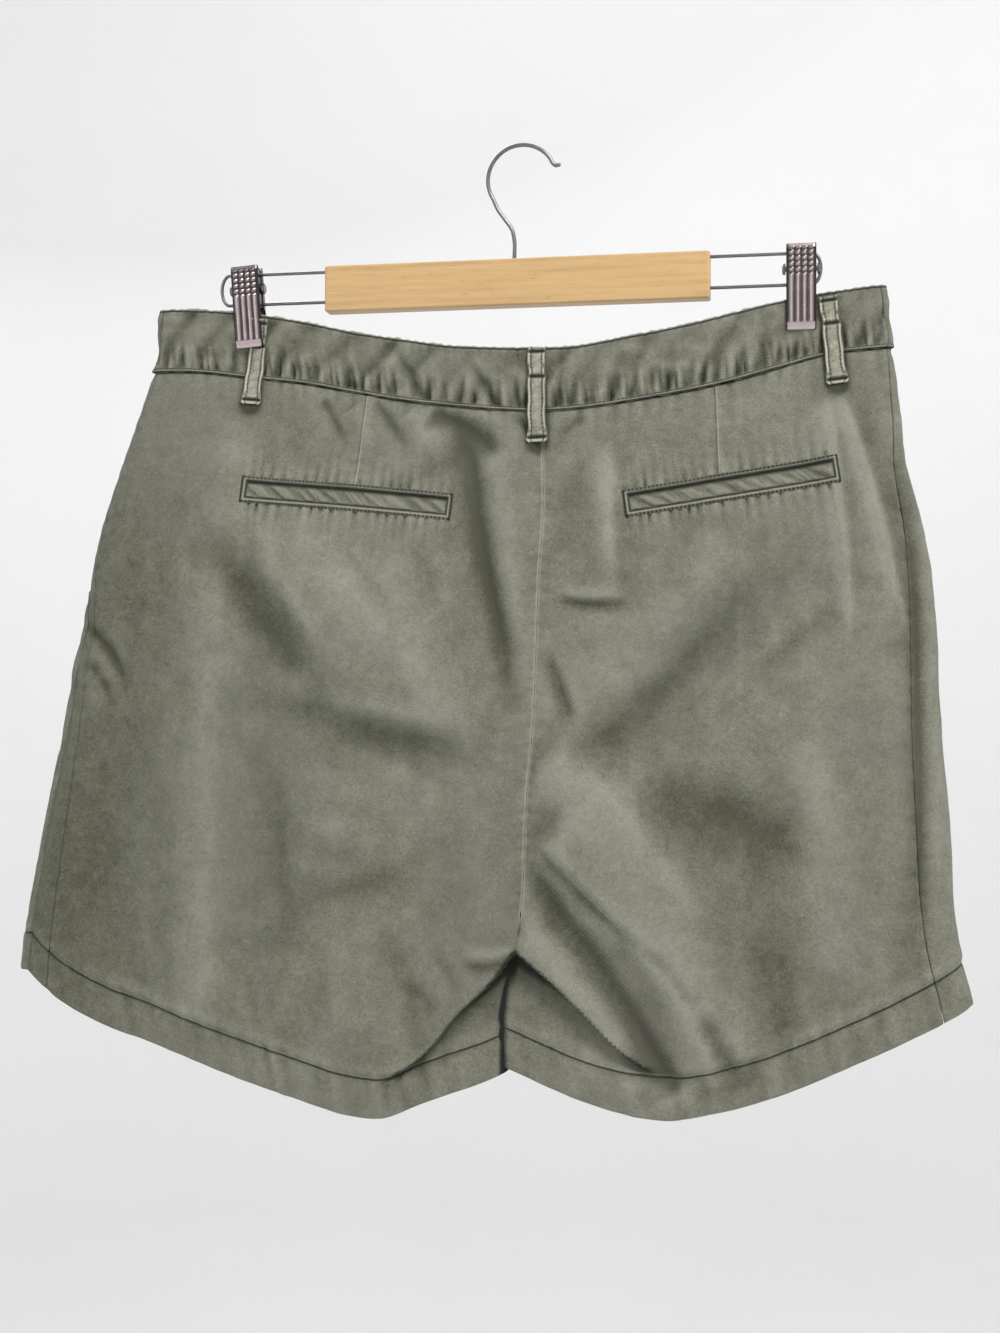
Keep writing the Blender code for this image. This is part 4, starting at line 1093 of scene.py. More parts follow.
def rounded_wall(outer, normal, wall, to_edge, radius=1.0):
    """Outer and inner points of a wall whose edges are rounded over."""
    share = np.clip(to_edge / radius, 0.0, 1.0)
    half = wall / 2.0 * np.sqrt(np.clip(1.0 - (1.0 - share) ** 2, 0.02, 1.0))
    middle = outer - normal * (np.asarray(wall) / 2.0)[..., None]
    return middle + normal * half[..., None], middle - normal * half[..., None]


def unit_vectors(vectors):
    return vectors / np.linalg.norm(vectors, axis=-1, keepdims=True)


def round_angles(sides):
    return np.linspace(0.0, 2.0 * math.pi, sides, endpoint=False)


def ring_faces(count, sides):
    """Quads between neighbouring rings of points."""
    faces = []
    for row in range(count - 1):
        for column in range(sides):
            a, b = row * sides + column, row * sides + (column + 1) % sides
            faces.append([a, b, b + sides, a + sides])
    return faces


def ring_mesh(name, rings, sharp_angle=60.0):
    """Closed mesh of rings of points, with a flat face on each end."""
    count, sides = rings.shape[:2]
    ends = [list(range(sides))[::-1], list(range((count - 1) * sides, count * sides))]
    return add_mesh(name, rings.reshape(-1, 3), ring_faces(count, sides) + ends, sharp_angle)


def tube(name, path, radius, sides=12):
    """Round wire through points, with rounded closed ends."""
    path = np.asarray(path, float)
    first, last = unit_vectors(path[0] - path[1]), unit_vectors(path[-1] - path[-2])
    radii = [radius * 0.35] + [radius] * len(path) + [radius * 0.35]
    path = np.concatenate([[path[0] + first * radius * 0.7], path, [path[-1] + last * radius * 0.7]])
    along = unit_vectors(np.gradient(path, axis=0))
    across = np.cross(along[0], (0.3, 1.0, 0.2))
    angle = round_angles(sides)[:, None]
    rings = []
    for point, direction, size in zip(path, along, radii):
        across = unit_vectors(across - direction * np.dot(across, direction))
        other = np.cross(direction, across)
        rings.append(point + size * (np.cos(angle) * across + np.sin(angle) * other))
    return ring_mesh(name, np.array(rings))


def lathe_rings(profile, centre, axis, sides):
    """Rings of points round an axis (0 for X, 1 for Y), from distances along it and radii."""
    angle = round_angles(sides)
    rings = []
    for along, radius in profile:
        ring = [radius * np.cos(angle), radius * np.sin(angle)]
        ring.insert(axis, np.full(sides, along))
        rings.append(np.stack(ring, axis=1) + centre)
    return np.array(rings)


def stitch_ends(points, normals, pitch, length):
    """Starts, ends and normals of the stitches along a row of points on the cloth."""
    run = run_along(points)
    starts = np.arange(STITCH_START, run[-1] - length, pitch)
    found = []
    for at, values in ((starts, points), (starts + length, points), (starts + length / 2.0, normals)):
        found.append(np.stack([np.interp(at, run, values[:, k]) for k in range(3)], axis=1))
    return found


def stitch_piece(name, rows, thread, radius, pitch, length):
    """Stitches of thread along rows of (points, normals), each a short bowed thread."""
    parts = [stitch_ends(points, normals, pitch, length) for points, normals in rows]
    start, end, normal = (np.concatenate([part[k] for part in parts]) for k in range(3))
    along = unit_vectors(end - start)
    across = unit_vectors(np.cross(normal, along))
    up = np.cross(along, across)
    angle = round_angles(STITCH_SIDES)[:, None]
    rings = []
    for share, lift, size in STITCH_BOW:
        centre = start + (end - start) * share + up * lift
        turn = across[:, None] * np.cos(angle) + up[:, None] * np.sin(angle)
        rings.append(centre[:, None] + radius * size * turn)
    rings = np.stack(rings, axis=1)
    a_stitch = len(STITCH_BOW) * STITCH_SIDES
    base = (np.arange(len(rings)) * a_stitch)[:, None]
    faces = ring_faces(len(STITCH_BOW), STITCH_SIDES)
    faces += [list(range(STITCH_SIDES))[::-1], list(range(a_stitch - STITCH_SIDES, a_stitch))]
    every = []
    for face in faces:
        every += (base + np.array(face)).tolist()
    finish_piece(add_mesh(name, rings.reshape(-1, 3), every, None), "twill", thread)


def level_line(points, normals, distance, value):
    """Points and normals where a distance, that grows or falls down each column, has a value."""
    rows = np.arange(points.shape[0])
    found, turned = [], []
    for column in range(points.shape[1]):
        order = np.argsort(distance[:, column])
        row = np.interp(value, distance[order, column], rows[order])
        found.append([np.interp(row, rows, points[:, column, k]) for k in range(3)])
        turned.append([np.interp(row, rows, normals[:, column, k]) for k in range(3)])
    return np.array(found), np.array(turned)


def crossing_rows(placed, normal, distances, values):
    """Rows of (points, normals) that cross a strip, at some distances along it."""
    distance = np.broadcast_to(distances[:, None], placed.shape[:2])
    return [level_line(placed, normal, distance, value) for value in values]


def lengthwise_rows(placed, normal, across, values):
    """Rows of (points, normals) that run along a strip, at some distances across it."""
    return crossing_rows(placed.transpose(1, 0, 2), normal.transpose(1, 0, 2), across, values)


def kept_points(rows, kept):
    """Rows of (points, normals) with only the points that a slice or mask keeps."""
    return [(points[kept], normals[kept]) for points, normals in rows]


def surface_of(*grids):
    """Ray-casting tree over some grids of points."""
    points, faces = [], []
    for grid in grids:
        faces += grid_quads(*grid.shape[:2], len(points)).tolist()
        points += [Vector(point) for point in grid.reshape(-1, 3).tolist()]
    return BVHTree.FromPolygons(points, faces)


# Rays that look for the cloth: where they start, and how far beside a point they look too
RAY_START = 200.0
RAY_ASIDE = 0.6
RAY_PLACES = ((0.0, 0.0), (0.0, RAY_ASIDE), (0.0, -RAY_ASIDE), (RAY_ASIDE, 0.0), (-RAY_ASIDE, 0.0))


def drop_on(tree, x, z, face):
    """Depth of the cloth's outer surface behind a point, looking past the seams' gaps."""
    found = []
    for aside, up in RAY_PLACES:
        start = Vector((x + aside, face * RAY_START, z + up))
        hit = tree.ray_cast(start, Vector((0.0, -face, 0.0)))[0]
        if hit is not None:
            found.append(face * hit.y)
    if not found:
        raise ValueError(f"no cloth at {x:.1f}, {z:.1f}")
    return face * max(found)


def dropped(tree, grid_xz, face, rounds):
    """Depths of the cloth under each point of a flat grid, softened."""
    flat = [drop_on(tree, x, z, face) for x, z in grid_xz.reshape(-1, 2)]
    return blurred(np.array(flat).reshape(grid_xz.shape[:2]), rounds)


def finish_piece(piece, slot, material, *nodes):
    """Gives a piece its material, its body and the nodes that it stands for."""
    piece.data.materials.clear()
    piece.data.materials.append(material)
    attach(piece, "root")
    if nodes:
        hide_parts(*nodes)
    return piece


# ---------------------------------------------------------------- materials


class Nodes:
    """The node tree of a new material, built in short steps that return sockets."""

    def __init__(self, name):
        self.material = bpy.data.materials.new(name)
        self.material.use_nodes = True
        self.tree = self.material.node_tree
        self.shader = self.tree.nodes["Principled BSDF"]
        self.place = self.add("ShaderNodeTexCoord").outputs["Object"]

    def add(self, kind, inputs=None, **settings):
        """New node with its settings; an input takes a value or another node's socket."""
        made = self.tree.nodes.new(kind)
        for key, value in settings.items():
            setattr(made, key, value)
        for key, value in (inputs or {}).items():
            if isinstance(value, bpy.types.NodeSocket):
                self.tree.links.new(value, made.inputs[key])
            else:
                made.inputs[key].default_value = value
        return made

    def calculate(self, operation, *values):
        return self.add("ShaderNodeMath", dict(enumerate(values)), operation=operation).outputs[0]

    def scaled(self, value, factor, offset=0.0):
        """A value times a factor, plus an offset."""
        return self.calculate("MULTIPLY_ADD", value, factor, offset)

    def clamped(self, value):
        return self.add("ShaderNodeClamp", {"Value": value}).outputs[0]

    def most(self, value, *others):
        """The largest of some values."""
        for other in others:
            value = self.calculate("MAXIMUM", value, other)
        return value

    def attribute(self, name):
        return self.add("ShaderNodeAttribute", attribute_name=name).outputs["Fac"]

    def line(self, name, middle, width):
        """1 where a named distance has the middle value, fading over a width to each side."""
        off = self.calculate("SUBTRACT", self.attribute(name), middle)
        return self.clamped(self.scaled(self.calculate("ABSOLUTE", off), -1.0 / width, 1.0))

    def stretched(self, *scale):
        """Coordinates of the surface, stretched by a factor for each axis."""
        return self.add("ShaderNodeMapping", {"Vector": self.place, "Scale": scale}).outputs["Vector"]

    def noise(self, scale, detail=2.0, roughness=0.5, distortion=0.0, place=None):
        inputs = {
            "Vector": self.place if place is None else place,
            "Scale": scale,
            "Detail": detail,
            "Roughness": roughness,
            "Distortion": distortion,
        }
        return self.add("ShaderNodeTexNoise", inputs).outputs["Fac"]

    def wave(self, direction, inputs):
        """Bands that follow each other in a direction."""
        inputs = {"Vector": self.place, **inputs}
        return self.add("ShaderNodeTexWave", inputs, bands_direction=direction).outputs["Fac"]

    def ramp(self, factor, stops):
        """Colour ramp through (place, colour) stops."""
        made = self.add("ShaderNodeValToRGB", {"Fac": factor})
        elements = made.color_ramp.elements
        while len(elements) < len(stops):
            elements.new(0.5)
        for element, (place, colour) in zip(elements, stops):
            element.position = place
            element.color = (*colour, 1.0)
        return made.outputs["Color"]

    def mix(self, factor, first, second):
        """A colour socket mixed with a colour of three numbers, by a factor."""
        inputs = {0: factor, 6: first, 7: (*second, 1.0)}
        return self.add("ShaderNodeMix", inputs, data_type="RGBA").outputs[2]

    def finish(self, colour, roughness=None, bump=None, **constants):
        """Links the colour, roughness and (height, strength, distance) of bump; sets constants."""
        self.tree.links.new(colour, self.shader.inputs["Base Color"])
        if roughness is not None:
            self.tree.links.new(roughness, self.shader.inputs["Roughness"])
        if bump:
            inputs = dict(zip(("Height", "Strength", "Distance"), bump))
            made = self.add("ShaderNodeBump", inputs)
            self.tree.links.new(made.outputs[0], self.shader.inputs["Normal"])
        for key, value in constants.items():
            self.shader.inputs[key.replace("_", " ")].default_value = value
        return self.material


def times(colour, factor):
    return tuple(factor * value for value in colour)


def cloth_material(name, kind, dark=OLIVE_DARK, middle=OLIVE, pale=OLIVE_PALE, grey=OLIVE_GREY):
    """Garment-dyed cotton twill: a diagonal weave with flecks, mottling, paler worn lines, and
    painted shade in its grooves, seams, gaps and folds.
    """
    nodes = Nodes(name)
    fleck = nodes.noise(900.0, 3.0, 0.7)
    slub = nodes.noise(1.0, 2.0, 0.6, place=nodes.stretched(300.0, 300.0, 1100.0))
    weave = {"Scale": TWILL_SCALE, "Distortion": 2.2, "Detail": 1.5, "Detail Scale": 0.6}
    twill = nodes.wave("DIAGONAL", weave)
    patterns = (
        (nodes.noise(75.0, 4.0, 0.62), 0.50),
        (nodes.noise(240.0, 3.0, 0.6), 0.40),
        (fleck, 1.10),
        (slub, 0.24),
        (twill, 0.16),
        # This attribute lightens raised cloth as worn paleness and darkens sunk cloth, folds and the
        # cloth beside the loops with painted shade
        (nodes.attribute("wear_and_shade"), 0.75),
    )
    tone = 0.5 - sum(share for _, share in patterns) / 2.0
    for pattern, share in patterns:
        tone = nodes.scaled(pattern, share, tone)
    colour = nodes.ramp(tone, ((0.0, dark), (0.48, middle), (1.0, pale)))
    greyed = nodes.clamped(nodes.scaled(nodes.noise(9.0), 2.4, -1.0))
    colour = nodes.mix(nodes.scaled(greyed, 0.35), colour, grey)
    groove, worn = drawn_lines(nodes, kind)
    colour = nodes.mix(nodes.scaled(worn, WORN_SHARE), colour, times(pale, WORN_BRIGHT))
    # Painted shade: grooves, stitch rows, seam lines, the gap between the legs and the folded
    # undersides are darkened almost to black
    colour = nodes.mix(nodes.scaled(groove, GROOVE_SHARE), colour, times(pale, GROOVE_DARK))
    grain = nodes.scaled(slub, 0.4, nodes.scaled(twill, 0.5, fleck))
    grain = nodes.scaled(groove, -1.6, grain)
    return nodes.finish(
        colour,
        nodes.scaled(fleck, 0.12, 0.84),
        (grain, 0.55, 0.0004),
        Specular_IOR_Level=0.18,
        Sheen_Weight=0.22,
        Sheen_Roughness=0.45,
        Sheen_Tint=(0.86, 0.88, 0.80, 1.0),
    )


def drawn_lines(nodes, kind):
    """Shares of the painted shade in grooves, seams, gaps and folds, and of the pale worn lines, on a
    panel, a band or a trim.
    """
    if kind == "trim":
        return nodes.attribute("groove"), nodes.attribute("worn")
    if kind == "band":
        # Band: painted shade in its two stitch rows and a painted shadow along its lower edge
        low_stitch = nodes.line("low_mm", BAND_LOW_STITCH, 0.5)
        groove = nodes.most(
            nodes.line("top_mm", BAND_TOP_STITCH, 0.6),
            nodes.scaled(low_stitch, 0.5),
            nodes.line("low_mm", 0.0, 0.7),
        )
        low_edge = nodes.scaled(nodes.line("low_mm", 0.6, 0.6), 0.5)
        return groove, nodes.most(nodes.line("top_mm", 0.4, 0.7), low_edge)
    # Panel: painted shade in the hem stitch row, a painted shadow under the waistband, the shade
    # attribute and the shaded side of each dart
    on_dart = nodes.attribute("seam_on")
    dart_side = nodes.calculate("MULTIPLY", nodes.line("seam_mm", -0.8, 0.6), on_dart)
    groove = nodes.most(
        nodes.line("hem_mm", HEM_STITCH, 0.85),
        nodes.line("top_mm", 0.0, 0.8),
        nodes.attribute("shade"),
        nodes.scaled(dart_side, 0.5),
    )
    worn = nodes.most(
        nodes.scaled(nodes.line("hem_mm", HEM_STITCH + 1.3, 0.8), 0.35),
        nodes.calculate("MULTIPLY", nodes.line("seam_mm", 0.2, 0.7), on_dart),
        nodes.line("edge_mm", 0.3, 1.1),
    )
    return groove, worn


def thread_material():
    nodes = Nodes("cotton_thread")
    fibre = nodes.noise(900.0, 3.0, 0.7)
    ply = nodes.wave("DIAGONAL", {"Scale": 900.0, "Distortion": 1.0})
    colour = nodes.ramp(fibre, ((0.2, times(THREAD, 0.6)), (0.8, times(THREAD, 1.5))))
    roughness = nodes.scaled(fibre, 0.2, 0.65)
    return nodes.finish(colour, roughness, (ply, 0.5, 0.0002), Sheen_Weight=0.15)


def wood_material():
    """Pale beech with grain along the bar, short flecks and a clear satin coat."""
    nodes = Nodes("bar_beech")
    grain = nodes.noise(3.2, 5.0, 0.62, 0.8, nodes.stretched(5.0, 60.0, 60.0))
    fine = nodes.noise(1.4, 3.0, 0.6, place=nodes.stretched(14.0, 700.0, 700.0))
    fleck = nodes.noise(1.0, 1.0, 0.5, place=nodes.stretched(160.0, 900.0, 900.0))
    place = nodes.stretched(1.2, 30.0, 34.0)
    rings = nodes.wave("Z", {"Vector": place, "Scale": 1.6, "Distortion": 5.0, "Detail": 3.0})
    tone = nodes.scaled(rings, 0.12, nodes.scaled(grain, 0.75, -0.22))
    tone = nodes.scaled(fine, 0.45, tone)
    colour = nodes.ramp(tone, (
        (0.05, (0.470, 0.285, 0.115)),
        (0.45, (0.640, 0.418, 0.186)),
        (0.95, (0.740, 0.515, 0.255)),
    ))
    dark_fleck = nodes.clamped(nodes.scaled(fleck, 5.0, -3.3))
    colour = nodes.mix(nodes.scaled(dark_fleck, 0.45), colour, (0.30, 0.165, 0.07))
    roughness = nodes.scaled(fine, 0.25, 0.32)
    bump = (fine, 0.25, 0.0003)
    return nodes.finish(colour, roughness, bump, Coat_Weight=0.25, Coat_Roughness=0.22)


def metal_material(name, colour, roughness, scratch_scale):
    """Polished plated metal with faint drawn scratches, and painted shade in the grooves and along
    the edges that a piece's groove attribute marks.
    """
    nodes = Nodes(name)
    cloud = nodes.noise(160.0, 3.0, 0.6)
    scratch = nodes.noise(1.0, 2.0, 0.6, place=nodes.stretched(*scratch_scale))
    tint = nodes.ramp(cloud, ((0.25, times(colour, 0.85)), (0.75, colour)))
    # Painted shade: the grooves and edges are darkened almost to black
    painted_shade = nodes.scaled(nodes.attribute("groove"), GROOVE_SHARE)
    tint = nodes.mix(painted_shade, tint, times(colour, 0.05))
    rough = nodes.scaled(scratch, 0.10, nodes.scaled(cloud, 0.16, roughness - 0.05))
    return nodes.finish(tint, rough, (scratch, 0.12, 0.0002), Metallic=1.0)


def button_material():
    nodes = Nodes("button_horn")
    cloud = nodes.noise(150.0, 4.0, 0.6, 1.5)
    streak = nodes.noise(1.0, 3.0, 0.6, place=nodes.stretched(120.0, 120.0, 900.0))
    tone = nodes.scaled(streak, 0.5, nodes.scaled(cloud, 0.5))
    colour = nodes.ramp(tone, (
        (0.30, (0.040, 0.030, 0.020)),
        (0.50, (0.110, 0.085, 0.055)),
        (0.70, (0.260, 0.205, 0.135)),
    ))
    roughness = nodes.scaled(cloud, 0.2, 0.25)
    return nodes.finish(colour, roughness, Coat_Weight=0.3, Coat_Roughness=0.15)


def studio_material():
    nodes = Nodes("studio_white")
    stops = ((0.3, (0.83, 0.83, 0.835)), (0.7, (0.85, 0.85, 0.855)))
    colour = nodes.ramp(nodes.noise(1.5), stops)
    return nodes.finish(colour, Roughness=0.95, Specular_IOR_Level=0.1)


# ---------------------------------------------------------------- cloth pieces


def panel_grid(side, face, spacing):
    """A panel with its folds: outer and inner points, normals, and the lines drawn on it."""
    width = float(np.median(form_sheet(side, face, np.array([1.0]))[:, 0, 2]))
    sheet = form_sheet(side, face, spaced(width, spacing) / width)
    top = edge_heights(sheet, side, "seam") - SEAM_GAP / 2.0
    bottom = edge_heights(sheet, side, "hem")
    length = float(np.mean(top - bottom))
    rows = spaced(length, spacing)[:, None] / length
    z = top + (bottom - top) * rows
    points, from_centre = read_sheet(sheet, z)
    from_side = from_centre[:, -1:] - from_centre
    from_top, from_hem = top - z, z - bottom
    normal = grid_normals(points, face)
    height, lines = panel_relief(points, from_centre, from_side, from_top, from_hem)
    outer = points + normal * height[..., None]
    step, lap = fold_edges(points[..., 0], z)
    back = on_back(points[..., 1])
    outer[..., 0] += back * lap + inseam_shift(side, z, from_centre)
    outer[..., 1] += flank_fall(points) - back * step
    normal = grid_normals(outer, face)
    in_hem = smooth_step(HEM_HEIGHT + 1.0, HEM_HEIGHT - 0.5, from_hem)
    wall = CLOTH_WALL + (HEM_WALL - CLOTH_WALL) * in_hem
    to_edge = least(2.4 * from_centre, from_side, from_top, from_hem)
    from_gap = side * (outer[..., 0] - centre_x(z))
    # Painted shade: a dark line in the gap between the legs, the inner side of the cloth folded over
    # the inseams and the shadows beside the belt loops, which also darken the cloth's tone
    gap_shade = smooth_step(2.8, 1.5, from_gap) * smooth_step(-477.0, -481.0, z)
    folded = fold_shade(points[..., 0], z)
    beside_loops = loop_shade(points)
    dark = np.maximum(gap_shade, 0.9 * smooth_step(0.55, 0.85, folded))
    shade = back * folded + 0.7 * beside_loops
    lines["hem_mm"] = from_hem
    lines["edge_mm"] = np.minimum(from_centre, from_side + 1.1)
    lines["top_mm"] = from_top
    lines["shade"] = back * dark + 0.5 * beside_loops
    lines["wear_and_shade"] = np.clip(wear_and_shade_of(height) + painted_shading_of(points) - shade, -0.6, 1.0)
    outer, inner = rounded_wall(outer, normal, wall, to_edge)
    return {"outer": outer, "inner": inner, "normal": normal, "lines": lines}


def inseam_shift(side, z, from_centre):
    """Uneven gap between the legs below the crotch: each inner edge moves back a little."""
    pitch, seed = INSEAM_WAVE
    back_off = 0.75 + 0.55 * uneven_wave(z, pitch, seed + side)
    leg = smooth_step(CROTCH_TOP, CROTCH_BOTTOM, z)
    closing = -SEAM_GAP / 2.0 * (1.0 - leg) * smooth_step(3.0, 0.0, from_centre)
    near_inseam = smooth_step(0.0, 14.0, from_centre) * smooth_step(48.0, 18.0, from_centre)
    moved = back_off * smooth_step(9.0, 0.0, from_centre) - INSEAM_SQUARED * near_inseam
    return side * (leg * moved + closing)


def make_panels(cloth):
    """The four leg panels, finer on the back, which the camera sees."""
    panels = {}
    for side, side_name in SIDES:
        for face, face_name in FACES:
            node = f"{face_name}_{side_name}"
            grid = panel_grid(side, face, PANEL_SPACING[face])
            piece = shell(node + "_twill", grid["outer"], grid["inner"], grid["lines"])
            finish_piece(piece, "twill", cloth, node)
            panels[node] = grid
    return panels


def band_half(side, face, share=1.0):
    """Half of a waistband face from the centre to the side seam, or a share of it."""
    width = share * float(np.median(form_sheet(side, face, np.array([1.0]))[:60, 0, 2]))
    sheet = form_sheet(side, face, share * spaced(width, BAND_SPACING) / width)
    top = edge_heights(sheet, side, "top")
    bottom = edge_heights(sheet, side, "seam") + SEAM_GAP / 2.0
    rows = spaced(BAND_LENGTH, BAND_ROW_SPACING, BAND_NEAR)[:, None] / BAND_LENGTH
    z = top + (bottom - top) * rows
    points, along = read_sheet(sheet, z)
    return {
        "points": points,
        "along": along,
        "end": along[:, -1:] - along,
        "top": top - z,
        "low": z - bottom,
        "share": rows + 0.0 * z,
    }


def joined(left, right):
    """A waistband of two halves that meet at the centre seam, laid out from left to right."""
    return {key: np.concatenate([left[key][:, ::-1], right[key][:, 1:]], axis=1) for key in left}


def band_relief(band, face):
    """Height of the waistband's cloth: a soft crown, gathered puckers, folds and stitch rows."""
    x = band["points"][..., 0]
    share = band["share"]
    inner = smooth_step(0.0, 4.5, band["top"]) * smooth_step(0.6, 3.4, band["low"])
    height = BAND_CROWN * np.sin(math.pi * share) + 1.1 * crumple(band["points"])
    for across, down, rise, seed in BAND_CREASES:
        pattern = noise(band["points"], (across, across, down), seed)
        height = height + inner * rise * (0.5 - np.abs(pattern) * 1.8)
    for pitch, at_top, at_low, lean, seed in BAND_PUCKERS:
        wave = gathers(x + lean * BAND_HEIGHT * share, pitch, seed + 7 * (face > 0))
        rise = at_top + (at_low - at_top) * smooth_step(0.42, 0.92, share)
        height = height + inner * rise * (wave - 0.25)
    for at_face, top_x, low_x, width, depth, start in BAND_FOLDS:
        if at_face != face:
            continue
        line = top_x + (low_x - top_x) * share
        grow = smooth_step(start, start + 0.45, share)
        height = height - inner * depth * grow * np.exp(-(np.abs((x - line) / width) ** 1.6))
    height = height + puckers(BAND_SCALLOPS, x, band["top"])
    height = height - 0.60 * bump(band["top"], BAND_TOP_STITCH, 0.6)
    return height - 0.40 * bump(band["low"], BAND_LOW_STITCH, 0.5)


def band_piece(node, band, face, lift, cloth):
    """Makes a waistband's shell at a lift over the form; returns its surface and its lines."""
    points = band["points"]
    normal = unit_vectors(np.cross(np.gradient(points, axis=1), (0.0, 0.0, 1.0)))
    if normal[0, normal.shape[1] // 2, 1] * face < 0:
        normal = -normal
    height = band_relief(band, face)
    outer = points + normal * (height + lift)[..., None]
    if face < 0:
        normal = grid_normals(outer, face)
    # Tone of the band: lighter where it stands out, darker with painted shade where it sinks and
    # beside the belt loops, and a little darker overall
    lines = {
        "top_mm": band["top"],
        "low_mm": band["low"],
        "wear_and_shade": wear_and_shade_of(height) - 0.08 - 0.8 * loop_shade(points),
    }
    to_edge = least(band["top"], band["low"], band["end"])
    outer, inner = rounded_wall(outer, normal, BAND_WALL, to_edge, 1.1)
    finish_piece(shell(node + "_twill", outer, inner, lines), "twill", cloth, node)
    return {"outer": outer, "normal": normal, "lines": lines}


def make_bands(cloth):
    """The back waistband and the two front ones; the right one laps over the left as a tab."""
    back = joined(band_half(-1, -1), band_half(1, -1))
    left = band_half(-1, 1)
    left["end"] = np.minimum(left["end"], left["along"])
    right = joined(band_half(-1, 1, TAB_SHARE), band_half(1, 1))
    middle = centre_x(right["points"][..., 2])
    over = TAB_LIFT * smooth_step(middle + 12.0, middle + 1.0, right["points"][..., 0])
    return {
        "back": band_piece("waistband_back", back, -1, BAND_PROUD, cloth),
        "left": band_piece("waistband_front_left", left, 1, BAND_PROUD, cloth),
        "right": band_piece("waistband_front_right", right, 1, BAND_PROUD + over, cloth),
    }


# ---------------------------------------------------------------- trims


def strip_grid(start, end, distances, across):
    """Flat grid of a straight strip, with the distances along it and across it."""
    start, end = np.array(start), np.array(end)
    along = (end - start) / np.linalg.norm(end - start)
    aside = np.array((-along[1], along[0]))
    u, v = np.meshgrid(distances, across, indexing="ij")
    return start + along * u[..., None] + aside * v[..., None], u, v


def trim_piece(node, grid_xz, depth, face, to_edge, lines, material, slot="twill"):
    """Makes the shell of a strip with a depth over each point; returns its points and normals."""
    outer = np.stack([grid_xz[..., 0], depth, grid_xz[..., 1]], axis=-1)
    normal = grid_normals(outer, face)
    outer, inner = rounded_wall(outer, normal, TRIM_WALL, to_edge, TRIM_ROUND)
    finish_piece(shell(node + "_twill", outer, inner, lines), slot, material, node)
    return outer, normal


def make_welts(tree, material):
    """Single-welt pockets: a stitched frame round a gathered welt, open along its top."""
    rows = []
    half = WELT_HEIGHT / 2.0 + WELT_MARGIN
    for index, (name, inner_x, inner_z, outer_x, outer_z) in enumerate(WELTS):
        length = math.hypot(outer_x - inner_x, outer_z - inner_z)
        to_right = 1.0 if outer_x > inner_x else -1.0
        distances = spaced(length + 2.0 * WELT_MARGIN, 0.6, WELT_NEAR) - WELT_MARGIN
        across = spaced(2.0 * half, 0.5, WELT_NEAR) - half
        grid, u, v = strip_grid((inner_x, inner_z), (outer_x, outer_z), distances, across)
        up = v * to_right
        to_end = np.minimum(u + WELT_MARGIN, length + WELT_MARGIN - u)
        to_edge = np.minimum(half - np.abs(v), to_end)
        body = smooth_step(WELT_LINE, WELT_LINE + 1.6, to_edge)
        relief = 0.35 + 0.75 * bump(to_edge, WELT_STRIP, 0.75) + 0.35 * body
        for pitch, lean, height, seed in WELT_GATHERS:
            relief = relief + body * height * gathers(u * to_right + lean * up, pitch, seed + index)
        opening = bump(half - up, WELT_OPENING, 1.45) * smooth_step(1.8, 4.0, to_end)
        line = bump(to_edge, WELT_LINE, 0.55)
        relief = relief - 0.35 * bump(to_edge, WELT_STITCH, 0.4) - 1.5 * opening - 0.5 * line
        depth = dropped(tree, grid, -1, 6) - (np.maximum(relief, WELT_FLOOR) + TRIM_LIFT)
        dots = 0.35 + 0.9 * np.cos(2.0 * math.pi * (u - STITCH_START) / TRIM_PITCH)
        along_edge = bump(to_edge, WELT_STITCH, 0.65) * np.clip(dots, 0.0, 1.0)
        pale = bump(to_edge, WELT_STRIP, 0.6) + 0.35 * body * (relief > 0.7)
        # Painted shade in the pocket opening, the inner line and the stitch rows; the tone is darker
        # with painted shade where the welt sinks
        lines = {
            "groove": most(opening, 0.8 * line, bump(to_end, WELT_STITCH, 0.65), along_edge),
            "worn": np.clip(pale, 0.0, 1.0),
            "wear_and_shade": np.clip(0.42 + 0.22 * (relief - 0.7), 0.0, 1.0),
        }
        placed, normal = trim_piece(name, grid, depth, -1, to_edge, lines, material)
        rows += frame_rows(placed, normal, distances, across, WELT_STITCH)
    return rows


def frame_rows(placed, normal, distances, across, inset):
    """Stitch rows round a strip, at a distance in from its edges."""
    low, high = across[0] + inset, across[-1] - inset
    first, last = distances[0] + inset, distances[-1] - inset
    inside = (distances > first - 0.1) & (distances < last + 0.1)
    crossing = (across > low - 0.1) & (across < high + 0.1)
    rows = kept_points(lengthwise_rows(placed, normal, across, (low, high)), inside)
    return rows + kept_points(crossing_rows(placed, normal, distances, (first, last)), crossing)


def loop_width(share, u, length):
    """Width of a belt loop along it, as a share: drawn in below its top tack, flared at its end."""
    width = 1.0 - 0.14 * bump(share, 0.26, 0.05) + 0.22 * smooth_step(0.80, 0.96, share)
    corner = np.clip((u - length + 3.0) / 3.0, 0.0, 1.0)
    return width * (1.0 - 0.16 * corner**3)


